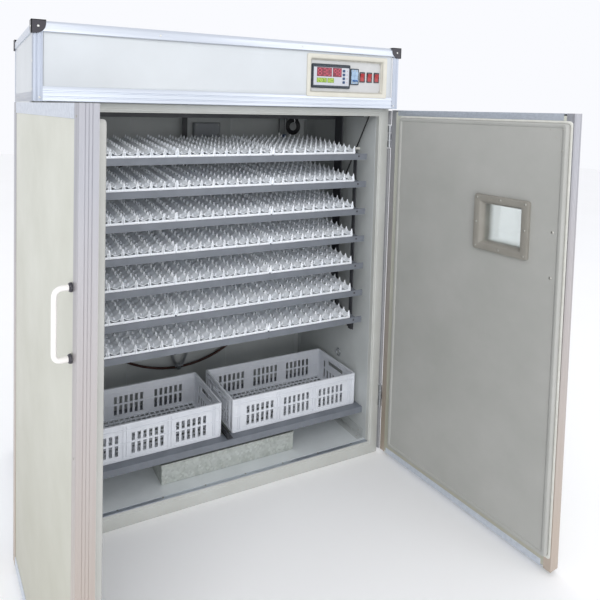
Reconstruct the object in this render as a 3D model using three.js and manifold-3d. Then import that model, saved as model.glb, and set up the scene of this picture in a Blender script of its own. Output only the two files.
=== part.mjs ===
// Cabinet egg incubator with a tilting seven-level egg rack, two hatching baskets and a water pan.
// Millimetres, +Z up, the front faces -Y, and the origin is the centre of the base on the floor.
// It is built with both doors standing open and the egg rack tilted a little, rear edge up.

import * as THREE from 'three';
import * as BufferGeometryUtils from 'three/addons/utils/BufferGeometryUtils.js';
import Module from 'manifold-3d';

const wasm = await Module();
wasm.setup();

// ---- driving dimensions ----

const GAP = 0.3;                  // between pieces that touch

const CABINET_WIDTH = 1360;
const CABINET_DEPTH = 610;
const CABINET_HEIGHT = 1640;
const WALL = 46;                  // insulated sandwich panel
const CONTROL_BOX_BOTTOM = 1404;
const FASCIA_DEPTH = 40;
const FLOOR_TOP = 54;
const CEILING_BOTTOM = 1420;
const CEILING_THICKNESS = 25;
const TOP_RIM_HEIGHT = 32;
const TOP_RIM_PROUD = 5;

const SURROUND_RECESS = 42;       // the door surround stands this far behind the fascia's front
const SURROUND_THICKNESS = 18;
const SURROUND_SILL_TOP = 52;
const SURROUND_HEADER_BOTTOM = 1375;

const DOOR_THICKNESS = 40;
const DOOR_STEP = 18;             // inner plug that enters the opening
const DOOR_BOTTOM = 15;
const DOOR_TOP = 1400;
const DOOR_MEETING_GAP = 3;
const DOOR_STEP_CLEARANCE = 5;
const HINGE_OFFSET_X = 8;         // pin outside the cabinet's side
const HINGE_OFFSET_Y = 42;        // pin behind the fascia's front
const HINGE_LENGTH = 90;
const HINGE_KNUCKLE_RADIUS = 7;
const HINGE_HEIGHTS = [190, 1250];
const RIGHT_DOOR_OPEN = 95;       // degrees
const LEFT_DOOR_OPEN = 85;
const HANDLE_FROM_EDGE = 38;
const HANDLE_CENTRE_Z = 977;
const HANDLE_LENGTH = 160;
const HANDLE_STAND_OFF = 40;
const HANDLE_BAR = 12;
const WINDOW_CENTRE_X = 198;      // on the closed right door
const WINDOW_CENTRE_Z = 1036;
const WINDOW_FRAME_SIZE = 184;
const WINDOW_OPENING = 130;

const CONTROL_OPENING = { left: 278, right: 606, bottom: 1462, top: 1580 };
const CONTROL_BORDER = 18;
const CONTROL_RECESS = 12;        // of the plate behind the fascia's front
const CONTROLLER = { width: 170, height: 88, x: 371, z: 1520, proud: 8, bodyDepth: 90 };
const BUTTON = { width: 10, height: 9, depth: 5, x: 426, topZ: 1541, pitch: 14, proud: 1.6 };
const BREAKER = { width: 38, height: 60, x: 478, z: 1522, proud: 7 };
const ROCKER = { width: 18, height: 30, firstX: 516, pitch: 34, z: 1522, rest: 8 };

const RACK_CENTRE_X = -12;
const RACK_PIVOT_Y = -60;
const RACK_TOP_LEVEL_Z = 1228;
const RACK_LEVELS = 7;
const RACK_PITCH = 110;
const RACK_REST_TILT = 5;         // degrees, rear edge up
const BAR_HEIGHT = 24;
const BAR_FLANGE = 22;
const BAR_THICKNESS = 4;
const FRAME_HALF_WIDTH = 588;
const FRAME_HALF_DEPTH = 172;
const FRONT_BAR_LEFT = 14;        // the front bar's overhang past the side bars
const FRONT_BAR_RIGHT = 29;
const TRAY_PITCH = 374;
const TRAY_HALF_DEPTH = 170;
const TRAY_BASE = 3;
const TRAY_RIB = 10;
const EGG_COLUMNS = 8;            // in one tray
const PIVOT_RADIUS = 6;
const LINK_PIN_RADIUS = 4;
const PIN_CLEARANCE = 0.7;
const LINK_ARM = 130;             // from the pivots to the link bar
const LINK_WIDTH = 18;
const LINK_THICKNESS = 5;
const CRANK_BELOW = 42;           // the motor shaft, below the lowest pivot
const CRANK_HEIGHT = 30;
const CRANK_THICKNESS = 3;
const SHAFT_RADIUS = 5;
const UPRIGHT_WIDTH = 50;
const UPRIGHT_THICKNESS = 5;
const UPRIGHT_FROM_FRAME = 17;
const MOTOR_RADIUS = 30;
const MOTOR_DEPTH = 30;
const BEAM_BOTTOM = 1356;           // across the top of the rack
const BEAM_TOP = 1396;
const BEAM_THICKNESS = 5;
const TOP_RAIL_BOTTOM = 1370;       // from front to rear along each side wall
const TOP_RAIL_HEIGHT = 38;
const TOP_RAIL_FLANGE = 36;
const TOP_RAIL_OVERHANG = 130;

const SHELF_TOP = 178;
const SHELF_FRONT_Y = -221;
const SHELF_REAR_Y = 125;
const BASKET_LENGTH = 570;
const BASKET_DEPTH = 256;
const BASKET_HEIGHT = 128;
const BASKET_WALL = 4;
const BASKET_CENTRES = [-278, 335];
const BASKET_CENTRE_Y = -62;

const PAN = { left: -230, right: 325, front: -195, rear: 105, height: 74, wall: 2.5 };

const HEATER_RADIUS = 488;
const HEATER_TUBE_RADIUS = 5;
const HEATER_CENTRE_Z = 739;
const HEATER_Y = 240;
const FAN_RADIUS = 200;
const FAN_BLADES = 5;
const FAN_BLADE_PITCH = 22;       // degrees from the plane that the fan turns in

const FAN_HUB = { radius: 38, front: 130, rear: 164 };
const FAN_BLADE = { root: 30, halfWidth: 52, halfThickness: 1 };
const FAN_MOTOR = { radius: 55, front: 170, shaftFront: 158 };
const BRACKET = { halfWidth: 12, y: 219, thickness: 4, belowFan: 70 };

const MOTOR_CABLE_RADIUS = 3;
const SENSOR_CABLE_RADIUS = 2.5;
const HUMIDITY_LEAD_RADIUS = 1.6;
const COIL = { x: 500, y: 150, z: 1318, radius: 28.5, section: 10 };
const COIL_IN = 23.5;             // radius at which the sensor cable enters the coil
const COIL_OUT = 33.5;            // and at which it leaves
const ARCH_RADIUS = 20;           // of the sensor cable's turn down to its probe
const PROBE = { radius: 4, length: 30, top: 1290 };
const HUMIDITY = { x: 446, y: 138, width: 18, depth: 10, height: 32, top: 1282 };

// ---- places worked out from the dimensions ----

const SIDE = CABINET_WIDTH / 2;
const FRONT = -CABINET_DEPTH / 2;
const REAR = CABINET_DEPTH / 2;
const INNER_SIDE = SIDE - WALL;
const INNER_REAR = REAR - WALL;
const FASCIA_REAR = FRONT + FASCIA_DEPTH;
const SURROUND_FRONT = FRONT + SURROUND_RECESS;
const SURROUND_REAR = SURROUND_FRONT + SURROUND_THICKNESS;
const PIN_X = SIDE + HINGE_OFFSET_X;
const PIN_Y = FRONT + HINGE_OFFSET_Y;
const PLATE_FRONT = FRONT + CONTROL_RECESS;
const RACK_RIGHT = RACK_CENTRE_X + FRAME_HALF_WIDTH;
const RACK_LEFT = RACK_CENTRE_X - FRAME_HALF_WIDTH;
const LOWEST_PIVOT_Z = RACK_TOP_LEVEL_Z - (RACK_LEVELS - 1) * RACK_PITCH;
const SHAFT_Z = LOWEST_PIVOT_Z - CRANK_BELOW;
const LINK_X = RACK_RIGHT + 4;
const CRANK_X = LINK_X + LINK_THICKNESS + 3;
const UPRIGHT_X = RACK_RIGHT + UPRIGHT_FROM_FRAME;
const UPRIGHT_BOTTOM = SHAFT_Z - 40;
const FAN_CENTRE_Z = HEATER_CENTRE_Z;

// ---- materials ----

function material(color, roughness, metalness) {
  return new THREE.MeshStandardMaterial({ color, roughness, metalness });
}

const creamPanel = material('#e4e3da', 0.5, 0);
const innerPanel = material('#8f9186', 0.55, 0);
const aluminium = material('#b9bdc4', 0.35, 0.9);
const doorFace = material('#d8d6c8', 0.5, 0);
const whitePlate = material('#e9ebed', 0.5, 0);
const blackPlastic = material('#1c1e26', 0.45, 0);
const bluePlastic = material('#4a63b8', 0.45, 0);
const redPlastic = material('#c22a22', 0.4, 0);
const slateSteel = material('#5a5f66', 0.5, 0.4);
const darkSteel = material('#2b2b2d', 0.55, 0.4);
const zincSteel = material('#9a9fa3', 0.4, 0.85);
const trayPlastic = material('#cdd2da', 0.4, 0);
const basketPlastic = material('#dfe4ec', 0.4, 0);
const heaterMetal = material('#4a2220', 0.45, 0.5);
const cableBlack = material('#17171a', 0.5, 0);
const clearGlass = material('#cfd8d6', 0.05, 0);
const beigePlastic = material('#c9c3ae', 0.5, 0);
const handleWhite = material('#e6e4e2', 0.3, 0.1);

const incubator = new THREE.Group();

function addPiece(name, geometry, surface, parent = incubator) {
  const mesh = new THREE.Mesh(geometry, surface);
  mesh.name = name;
  parent.add(mesh);
  return mesh;
}

// ---- shapes ----

function block(x0, x1, y0, y1, z0, z1) {
  const geometry = new THREE.BoxGeometry(x1 - x0, y1 - y0, z1 - z0);
  return geometry.translate((x0 + x1) / 2, (y0 + y1) / 2, (z0 + z1) / 2);
}

// A flat outline in the YZ plane, extruded along X from x0 to x1.
function prismAlongX(points, x0, x1) {
  const outline = new THREE.Shape(points.map(([y, z]) => new THREE.Vector2(y, z)));
  const geometry = new THREE.ExtrudeGeometry(outline, { depth: x1 - x0, bevelEnabled: false });
  const turn = new THREE.Matrix4().makeBasis(
    new THREE.Vector3(0, 1, 0),
    new THREE.Vector3(0, 0, 1),
    new THREE.Vector3(1, 0, 0),
  );
  return geometry.applyMatrix4(turn).translate(x0, 0, 0);
}

// A flat outline in the XZ plane, extruded along Y from y0 to y1.
function prismAlongY(points, y0, y1) {
  const outline = new THREE.Shape(points.map(([x, z]) => new THREE.Vector2(x, z)));
  const geometry = new THREE.ExtrudeGeometry(outline, { depth: y1 - y0, bevelEnabled: false });
  return geometry.rotateX(Math.PI / 2).translate(0, y1, 0);
}

// A flat outline in the XY plane, extruded upwards from z0 to z1.
function prismAlongZ(points, z0, z1) {
  const outline = new THREE.Shape(points.map(([x, y]) => new THREE.Vector2(x, y)));
  const geometry = new THREE.ExtrudeGeometry(outline, { depth: z1 - z0, bevelEnabled: false });
  return geometry.translate(0, 0, z0);
}

function rodAlongX(radius, x0, x1, y, z, sides = 12) {
  const geometry = new THREE.CylinderGeometry(radius, radius, x1 - x0, sides);
  return geometry.rotateZ(Math.PI / 2).translate((x0 + x1) / 2, y, z);
}

function rodAlongY(radius, x, y0, y1, z, sides = 16) {
  const geometry = new THREE.CylinderGeometry(radius, radius, y1 - y0, sides);
  return geometry.translate(x, (y0 + y1) / 2, z);
}

function rodUpright(radius, x, y, z0, z1, sides = 12) {
  const geometry = new THREE.CylinderGeometry(radius, radius, z1 - z0, sides);
  return geometry.rotateX(Math.PI / 2).translate(x, y, (z0 + z1) / 2);
}

function toSolid(geometry) {
  const bare = geometry.clone();
  bare.deleteAttribute('normal');
  bare.deleteAttribute('uv');
  const merged = BufferGeometryUtils.mergeVertices(bare, 1e-4);
  return new wasm.Manifold(new wasm.Mesh({
    numProp: 3,
    vertProperties: new Float32Array(merged.attributes.position.array),
    triVerts: new Uint32Array(merged.index.array),
  }));
}

function fromSolid(solid) {
  const mesh = solid.getMesh();
  const geometry = new THREE.BufferGeometry();
  geometry.setAttribute('position', new THREE.BufferAttribute(mesh.vertProperties.slice(), 3));
  geometry.setIndex(new THREE.BufferAttribute(mesh.triVerts.slice(), 1));
  geometry.computeVertexNormals();
  return geometry;
}

function join(...geometries) {
  return fromSolid(geometries.map(toSolid).reduce((whole, piece) => whole.add(piece)));
}

function cut(geometry, ...tools) {
  return fromSolid(tools.map(toSolid).reduce((rest, tool) => rest.subtract(tool), toSolid(geometry)));
}

function mirroredX(geometry) {
  const mirrored = geometry.clone().scale(-1, 1, 1);
  const index = mirrored.index.array;
  for (let i = 0; i < index.length; i += 3) {
    [index[i], index[i + 1]] = [index[i + 1], index[i]];
  }
  mirrored.computeVertexNormals();
  return mirrored;
}

// A path through the points, straight between them, with each inner corner rounded off.
function roundedPath(points, radius) {
  const path = new THREE.CurvePath();
  const corners = points.map((point) => new THREE.Vector3(...point));
  let start = corners[0];
  for (let i = 1; i < corners.length - 1; i += 1) {
    const before = corners[i].clone().sub(corners[i - 1]).normalize();
    const after = corners[i + 1].clone().sub(corners[i]).normalize();
    const entry = corners[i].clone().addScaledVector(before, -radius);
    const exit = corners[i].clone().addScaledVector(after, radius);
    path.add(new THREE.LineCurve3(start, entry));
    path.add(new THREE.QuadraticBezierCurve3(entry, corners[i], exit));
    start = exit;
  }
  path.add(new THREE.LineCurve3(start, corners[corners.length - 1]));
  return path;
}

function tube(path, radius, sides, steps) {
  const section = new THREE.Shape();
  for (let i = 0; i < sides; i += 1) {
    const angle = (i / sides) * 2 * Math.PI;
    const point = [radius * Math.cos(angle), radius * Math.sin(angle)];
    if (i === 0) {
      section.moveTo(...point);
    } else {
      section.lineTo(...point);
    }
  }
  return new THREE.ExtrudeGeometry(section, { steps, extrudePath: path, curveSegments: 1 });
}

// ---- cabinet ----

function sideWall(x0, x1) {
  return prismAlongX([
    [SURROUND_REAR + GAP, 0],
    [REAR, 0],
    [REAR, CABINET_HEIGHT],
    [FASCIA_REAR + GAP, CABINET_HEIGHT],
    [FASCIA_REAR + GAP, CONTROL_BOX_BOTTOM],
    [SURROUND_REAR + GAP, CONTROL_BOX_BOTTOM],
  ], x0, x1);
}

function crossPanel(z0, z1, frontY) {
  return block(-INNER_SIDE + GAP, INNER_SIDE - GAP, frontY + GAP, INNER_REAR - GAP, z0, z1);
}

addPiece('left_wall', sideWall(-SIDE, -INNER_SIDE), creamPanel);
addPiece('right_wall', sideWall(INNER_SIDE, SIDE), creamPanel);
addPiece(
  'rear_wall',
  block(-INNER_SIDE + GAP, INNER_SIDE - GAP, INNER_REAR, REAR, 0, CABINET_HEIGHT),
  creamPanel,
);
addPiece('floor_panel', crossPanel(0, FLOOR_TOP, SURROUND_REAR), innerPanel);
addPiece(
  'ceiling_panel',
  crossPanel(CEILING_BOTTOM, CEILING_BOTTOM + CEILING_THICKNESS, FASCIA_REAR),
  innerPanel,
);
addPiece('roof_panel', crossPanel(CABINET_HEIGHT - WALL, CABINET_HEIGHT, FASCIA_REAR), creamPanel);

const fascia = block(-SIDE, SIDE, FRONT, FASCIA_REAR, CONTROL_BOX_BOTTOM, CABINET_HEIGHT);
const fasciaHole = block(
  CONTROL_OPENING.left,
  CONTROL_OPENING.right,
  FRONT - 1,
  FASCIA_REAR + 1,
  CONTROL_OPENING.bottom,
  CONTROL_OPENING.top,
);
addPiece('control_fascia', cut(fascia, fasciaHole), aluminium);

function rectangularRing(halfX, y0, y1, z0, z1, border) {
  return cut(
    block(-halfX, halfX, y0, y1, z0, z1),
    block(-halfX + border, halfX - border, y0 + border, y1 - border, z0 - 1, z1 + 1),
  );
}

addPiece(
  'top_rim',
  rectangularRing(
    SIDE + TOP_RIM_PROUD,
    FRONT - TOP_RIM_PROUD,
    REAR + TOP_RIM_PROUD,
    CABINET_HEIGHT - TOP_RIM_HEIGHT,
    CABINET_HEIGHT,
    TOP_RIM_PROUD - GAP,
  ),
  aluminium,
);

// ---- door surround with the fixed hinge leaves ----

function fixedHinge(z) {
  const third = HINGE_LENGTH / 3;
  const leafFront = SURROUND_FRONT + 8;
  const pieces = [
    block(SIDE - 4, SIDE + 4, leafFront, SURROUND_REAR - GAP, z, z + HINGE_LENGTH),
    block(SIDE + GAP, SIDE + 4, leafFront, SURROUND_REAR + 40, z, z + HINGE_LENGTH),
  ];
  for (const low of [z, z + 2 * third]) {
    pieces.push(block(SIDE + 1, SIDE + 4, PIN_Y, leafFront + 1, low, low + third - 0.5));
    pieces.push(rodUpright(HINGE_KNUCKLE_RADIUS, PIN_X, PIN_Y, low, low + third - 0.5));
  }
  return pieces;
}

function doorSurround() {
  const ring = cut(
    block(-SIDE, SIDE, SURROUND_FRONT, SURROUND_REAR, 0, CONTROL_BOX_BOTTOM - GAP),
    block(
      -INNER_SIDE,
      INNER_SIDE,
      SURROUND_FRONT - 1,
      SURROUND_REAR + 1,
      SURROUND_SILL_TOP,
      SURROUND_HEADER_BOTTOM,
    ),
  );
  const rightHinges = HINGE_HEIGHTS.flatMap(fixedHinge).map((piece) => fromSolid(toSolid(piece)));
  return join(ring, ...rightHinges, ...rightHinges.map(mirroredX));
}

addPiece('door_surround', doorSurround(), aluminium);

// ---- doors, drawn closed in cabinet coordinates, then turned open about their pins ----

function doorPanel() {
  const inner = DOOR_MEETING_GAP / 2;
  const slab = block(inner, SIDE, FRONT, FRONT + DOOR_THICKNESS, DOOR_BOTTOM, DOOR_TOP);
  const step = block(
    inner + 10,
    INNER_SIDE - DOOR_STEP_CLEARANCE,
    FRONT + DOOR_THICKNESS - 1,
    FRONT + DOOR_THICKNESS + DOOR_STEP,
    SURROUND_SILL_TOP + DOOR_STEP_CLEARANCE + 3,
    SURROUND_HEADER_BOTTOM - DOOR_STEP_CLEARANCE,
  );
  const third = HINGE_LENGTH / 3;
  const leaves = HINGE_HEIGHTS.flatMap((z) => [
    block(SIDE - 2, SIDE + 4, FRONT + 6, FRONT + DOOR_THICKNESS - 7, z, z + HINGE_LENGTH),
    prismAlongZ(
      [
        [SIDE + 1, FRONT + DOOR_THICKNESS - 12],
        [SIDE + 4, FRONT + DOOR_THICKNESS - 16],
        [PIN_X + 1, PIN_Y - 5],
        [PIN_X - 4, PIN_Y - 1],
      ],
      z + third + 0.5,
      z + 2 * third - 1,
    ),
    rodUpright(HINGE_KNUCKLE_RADIUS, PIN_X, PIN_Y, z + third + 0.5, z + 2 * third - 1),
  ]);
  return join(slab, step, ...leaves);
}

function handle() {
  const x = DOOR_MEETING_GAP / 2 + HANDLE_FROM_EDGE;
  const low = HANDLE_CENTRE_Z - HANDLE_LENGTH / 2;
  const high = HANDLE_CENTRE_Z + HANDLE_LENGTH / 2;
  const face = FRONT - GAP;
  const far = FRONT - HANDLE_STAND_OFF;
  const near = far + HANDLE_BAR;
  return prismAlongX(
    [
      [face, low],
      [face, low + HANDLE_BAR + 2],
      [near, low + HANDLE_BAR + 4],
      [near, high - HANDLE_BAR - 4],
      [face, high - HANDLE_BAR - 2],
      [face, high],
      [far + 8, high],
      [far, high - 10],
      [far, low + 10],
      [far + 8, low],
    ],
    x - HANDLE_BAR / 2,
    x + HANDLE_BAR / 2,
  );
}

function squareOnDoor(size, y0, y1) {
  return block(
    WINDOW_CENTRE_X - size / 2,
    WINDOW_CENTRE_X + size / 2,
    y0,
    y1,
    WINDOW_CENTRE_Z - size / 2,
    WINDOW_CENTRE_Z + size / 2,
  );
}

function hungDoor(side, openDegrees) {
  const hung = new THREE.Group();
  hung.position.set(side * PIN_X, PIN_Y, 0);
  hung.rotation.z = side * THREE.MathUtils.degToRad(openDegrees);
  incubator.add(hung);
  const closed = new THREE.Group();
  closed.position.set(-side * PIN_X, -PIN_Y, 0);
  hung.add(closed);
  return closed;
}

const doorRear = FRONT + DOOR_THICKNESS + DOOR_STEP;

const rightDoor = hungDoor(1, RIGHT_DOOR_OPEN);
addPiece(
  'right_door',
  cut(doorPanel(), squareOnDoor(WINDOW_OPENING, FRONT - 1, doorRear + 1)),
  doorFace,
  rightDoor,
);
addPiece('right_door_handle', handle(), handleWhite, rightDoor);
addPiece(
  'right_window_frame',
  cut(
    join(
      squareOnDoor(WINDOW_FRAME_SIZE, doorRear + GAP, doorRear + 8),
      squareOnDoor(WINDOW_FRAME_SIZE, FRONT - 6, FRONT - GAP),
      squareOnDoor(WINDOW_OPENING - 2 * GAP, FRONT - 1, doorRear + 1),
    ),
    squareOnDoor(WINDOW_OPENING - 8, FRONT - 10, doorRear + 10),
  ),
  beigePlastic,
  rightDoor,
);
addPiece(
  'right_window_glass',
  squareOnDoor(WINDOW_OPENING - 8 - 2 * GAP, FRONT + 4, FRONT + 8),
  clearGlass,
  rightDoor,
);

const leftDoor = hungDoor(-1, LEFT_DOOR_OPEN);
addPiece('left_door', mirroredX(doorPanel()), doorFace, leftDoor);
addPiece('left_door_handle', mirroredX(fromSolid(toSolid(handle()))), handleWhite, leftDoor);

// ---- control window ----

function controlRing() {
  const { left, right, bottom, top } = CONTROL_OPENING;
  return cut(
    join(
      block(
        left - CONTROL_BORDER,
        right + CONTROL_BORDER,
        FRONT - 3,
        FRONT - GAP,
        bottom - CONTROL_BORDER,
        top + CONTROL_BORDER,
      ),
      block(left + GAP, right - GAP, FRONT - 1, PLATE_FRONT - GAP, bottom + GAP, top - GAP),
    ),
    block(left + 3, right - 3, FRONT - 10, PLATE_FRONT + 10, bottom + 3, top - 3),
  );
}

function centredBlock(x, z, width, height, y0, y1) {
  return block(x - width / 2, x + width / 2, y0, y1, z - height / 2, z + height / 2);
}

const rockerXs = [0, 1, 2].map((i) => ROCKER.firstX + i * ROCKER.pitch);

function controlPlate() {
  const { left, right, bottom, top } = CONTROL_OPENING;
  const plate = block(
    left + GAP,
    right - GAP,
    PLATE_FRONT,
    PLATE_FRONT + 3,
    bottom + GAP,
    top - GAP,
  );
  const bezels = rockerXs.map((x) => centredBlock(
    x,
    ROCKER.z,
    ROCKER.width + 7,
    ROCKER.height + 9,
    PLATE_FRONT - 2.5,
    PLATE_FRONT + 1,
  ));
  const holes = rockerXs.map((x) => centredBlock(
    x,
    ROCKER.z,
    ROCKER.width + 1,
    ROCKER.height + 2,
    PLATE_FRONT - 10,
    PLATE_FRONT + 10,
  ));
  const controllerHole = centredBlock(
    CONTROLLER.x,
    CONTROLLER.z,
    CONTROLLER.width - 10,
    CONTROLLER.height - 10,
    PLATE_FRONT - 1,
    PLATE_FRONT + 4,
  );
  return cut(join(plate, ...bezels), ...holes, controllerHole);
}

const buttonZs = [0, 1, 2, 3].map((i) => BUTTON.topZ - i * BUTTON.pitch);
const controllerFront = PLATE_FRONT - CONTROLLER.proud;

function controllerUnit() {
  const bezel = centredBlock(
    CONTROLLER.x,
    CONTROLLER.z,
    CONTROLLER.width,
    CONTROLLER.height,
    controllerFront,
    PLATE_FRONT - GAP,
  );
  const body = centredBlock(
    CONTROLLER.x,
    CONTROLLER.z,
    CONTROLLER.width - 10 - 2 * GAP,
    CONTROLLER.height - 10 - 2 * GAP,
    PLATE_FRONT - 1,
    PLATE_FRONT + CONTROLLER.bodyDepth,
  );
  const pockets = buttonZs.map((z) => centredBlock(
    BUTTON.x,
    z,
    BUTTON.width + 0.8,
    BUTTON.height + 0.8,
    controllerFront - 1,
    controllerFront + BUTTON.depth,
  ));
  return cut(join(bezel, body), ...pockets);
}

function breakerUnit() {
  const body = centredBlock(
    BREAKER.x,
    BREAKER.z,
    BREAKER.width,
    BREAKER.height,
    PLATE_FRONT - BREAKER.proud,
    PLATE_FRONT - GAP,
  );
  const slot = centredBlock(
    BREAKER.x,
    BREAKER.z - 12,
    25,
    20,
    PLATE_FRONT - BREAKER.proud - 1,
    PLATE_FRONT - 1,
  );
  return cut(body, slot);
}

addPiece('control_window_frame', controlRing(), doorFace);
addPiece('control_plate', controlPlate(), whitePlate);
addPiece('controller', controllerUnit(), blackPlastic);
buttonZs.forEach((z, i) => addPiece(
  `controller_button_${i + 1}`,
  centredBlock(
    BUTTON.x,
    z,
    BUTTON.width,
    BUTTON.height,
    controllerFront - BUTTON.proud,
    controllerFront + BUTTON.depth - BUTTON.proud - 0.6,
  ),
  bluePlastic,
));
addPiece('breaker', breakerUnit(), blackPlastic);

const breakerToggle = new THREE.Group();
breakerToggle.position.set(BREAKER.x, PLATE_FRONT - 4, BREAKER.z - 12);
breakerToggle.rotation.x = THREE.MathUtils.degToRad(30);
incubator.add(breakerToggle);
addPiece('breaker_toggle', block(-11, 11, -10, 2, -2, 2), bluePlastic, breakerToggle);

rockerXs.forEach((x, i) => {
  const pivot = new THREE.Group();
  pivot.position.set(x, PLATE_FRONT + 1, ROCKER.z);
  pivot.rotation.x = THREE.MathUtils.degToRad(ROCKER.rest);
  incubator.add(pivot);
  const half = ROCKER.height / 2 - 0.8;
  addPiece(
    `rocker_switch_${i + 1}`,
    prismAlongX(
      [
        [-5.5, -half],
        [5, -half],
        [5, half],
        [-5.5, half],
        [-4, 0],
      ],
      -ROCKER.width / 2,
      ROCKER.width / 2,
    ),
    redPlastic,
    pivot,
  );
});

// ---- egg rack ----

function rackStand() {
  const y0 = RACK_PIVOT_Y - UPRIGHT_WIDTH / 2;
  const y1 = RACK_PIVOT_Y + UPRIGHT_WIDTH / 2;
  const leftX = RACK_LEFT - UPRIGHT_FROM_FRAME + 4;
  const right = UPRIGHT_X + UPRIGHT_THICKNESS;
  const railTop = TOP_RAIL_BOTTOM + TOP_RAIL_HEIGHT;
  const railFront = y0 - TOP_RAIL_OVERHANG;
  const railRear = y1 + TOP_RAIL_OVERHANG;
  const pieces = [
    block(leftX, right, y1 - BEAM_THICKNESS, y1, BEAM_BOTTOM, BEAM_TOP),
    block(leftX, right, y0, y1, BEAM_TOP - BAR_THICKNESS, BEAM_TOP),
  ];
  const holes = [];
  for (const x of [leftX - UPRIGHT_THICKNESS, UPRIGHT_X]) {
    const outer = x > 0 ? right : x;
    const inner = x > 0 ? outer - TOP_RAIL_FLANGE : outer + TOP_RAIL_FLANGE;
    const flangeLeft = Math.min(inner, outer);
    const flangeRight = Math.max(inner, outer);
    pieces.push(block(x, x + UPRIGHT_THICKNESS, y0, y1, UPRIGHT_BOTTOM, BEAM_TOP));
    pieces.push(block(
      x,
      x + UPRIGHT_THICKNESS,
      railFront,
      railRear,
      TOP_RAIL_BOTTOM,
      railTop,
    ));
    pieces.push(block(
      flangeLeft,
      flangeRight,
      railFront,
      railRear,
      railTop - BAR_THICKNESS,
      railTop,
    ));
    for (let level = 0; level < RACK_LEVELS; level += 1) {
      const z = RACK_TOP_LEVEL_Z - level * RACK_PITCH;
      holes.push(rodAlongX(PIVOT_RADIUS + PIN_CLEARANCE, x - 2, x + 7, RACK_PIVOT_Y, z));
    }
  }
  const shaftRadius = SHAFT_RADIUS + PIN_CLEARANCE;
  holes.push(rodAlongX(shaftRadius, UPRIGHT_X - 2, UPRIGHT_X + 7, RACK_PIVOT_Y, SHAFT_Z));
  return cut(join(...pieces), ...holes);
}

addPiece('rack_stand', rackStand(), darkSteel);

// Each level is drawn about its own pivot axis: -Y is its front edge and +Z its upper side.
function trayFrame() {
  const top = BAR_HEIGHT / 2;
  const flangeBottom = top - BAR_THICKNESS;
  const pieces = [
    block(
      RACK_LEFT - FRONT_BAR_LEFT,
      RACK_RIGHT + FRONT_BAR_RIGHT,
      -FRAME_HALF_DEPTH,
      -FRAME_HALF_DEPTH + BAR_THICKNESS,
      -top,
      top,
    ),
    block(
      RACK_LEFT,
      RACK_RIGHT,
      FRAME_HALF_DEPTH - BAR_THICKNESS,
      FRAME_HALF_DEPTH,
      -top,
      top,
    ),
  ];
  for (const y of [-FRAME_HALF_DEPTH, FRAME_HALF_DEPTH - BAR_FLANGE]) {
    pieces.push(block(RACK_LEFT, RACK_RIGHT, y, y + BAR_FLANGE, flangeBottom, top));
  }
  for (const side of [-1, 1]) {
    const outer = RACK_CENTRE_X + side * FRAME_HALF_WIDTH;
    const inner = outer - side * BAR_THICKNESS;
    const flange = outer - side * BAR_FLANGE;
    pieces.push(block(
      Math.min(inner, outer),
      Math.max(inner, outer),
      -FRAME_HALF_DEPTH,
      FRAME_HALF_DEPTH,
      -top,
      top,
    ));
    pieces.push(block(
      Math.min(flange, outer),
      Math.max(flange, outer),
      -FRAME_HALF_DEPTH,
      FRAME_HALF_DEPTH,
      flangeBottom,
      top,
    ));
    const cross = RACK_CENTRE_X + side * TRAY_PITCH / 2;
    pieces.push(block(
      cross - 12,
      cross + 12,
      -FRAME_HALF_DEPTH,
      FRAME_HALF_DEPTH,
      flangeBottom,
      top,
    ));
  }
  const reach = UPRIGHT_FROM_FRAME + 7;
  pieces.push(rodAlongX(PIVOT_RADIUS, RACK_RIGHT - 2, RACK_RIGHT + reach, 0, 0));
  pieces.push(rodAlongX(PIVOT_RADIUS, RACK_LEFT - reach + 3, RACK_LEFT + 2, 0, 0));
  pieces.push(rodAlongX(LINK_PIN_RADIUS, RACK_RIGHT - 2, RACK_RIGHT + 11, -LINK_ARM, 0));
  return join(...pieces);
}

// Three egg trays side by side, with a low rib between the egg columns.
function trayRow() {
  const ribPitch = TRAY_PITCH / EGG_COLUMNS;
  const columns = 3 * EGG_COLUMNS;
  const half = 1.5 * TRAY_PITCH - 2;
  const bottom = BAR_HEIGHT / 2 + GAP;
  const plateTop = bottom + TRAY_BASE;
  const points = [
    [RACK_CENTRE_X - half, bottom],
    [RACK_CENTRE_X + half, bottom],
    [RACK_CENTRE_X + half, plateTop],
  ];
  for (let i = columns - 1; i > 0; i -= 1) {
    const x = RACK_CENTRE_X + (i - columns / 2) * ribPitch;
    points.push([x + 4, plateTop]);
    points.push([x, plateTop + TRAY_RIB]);
    points.push([x - 4, plateTop]);
  }
  points.push([RACK_CENTRE_X - half, plateTop]);
  return prismAlongY(points, -TRAY_HALF_DEPTH, TRAY_HALF_DEPTH);
}

for (let level = 0; level < RACK_LEVELS; level += 1) {
  const tilted = new THREE.Group();
  tilted.position.set(0, RACK_PIVOT_Y, RACK_TOP_LEVEL_Z - level * RACK_PITCH);
  tilted.rotation.x = THREE.MathUtils.degToRad(RACK_REST_TILT);
  incubator.add(tilted);
  addPiece(`tray_frame_${level + 1}`, trayFrame(), slateSteel, tilted);
  addPiece(`egg_trays_${level + 1}`, trayRow(), trayPlastic, tilted);
}

// ---- link bar, crank and turning motor ----

const tilt = THREE.MathUtils.degToRad(RACK_REST_TILT);
const linkY = RACK_PIVOT_Y - LINK_ARM * Math.cos(tilt);
const linkDrop = LINK_ARM * Math.sin(tilt);

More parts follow.
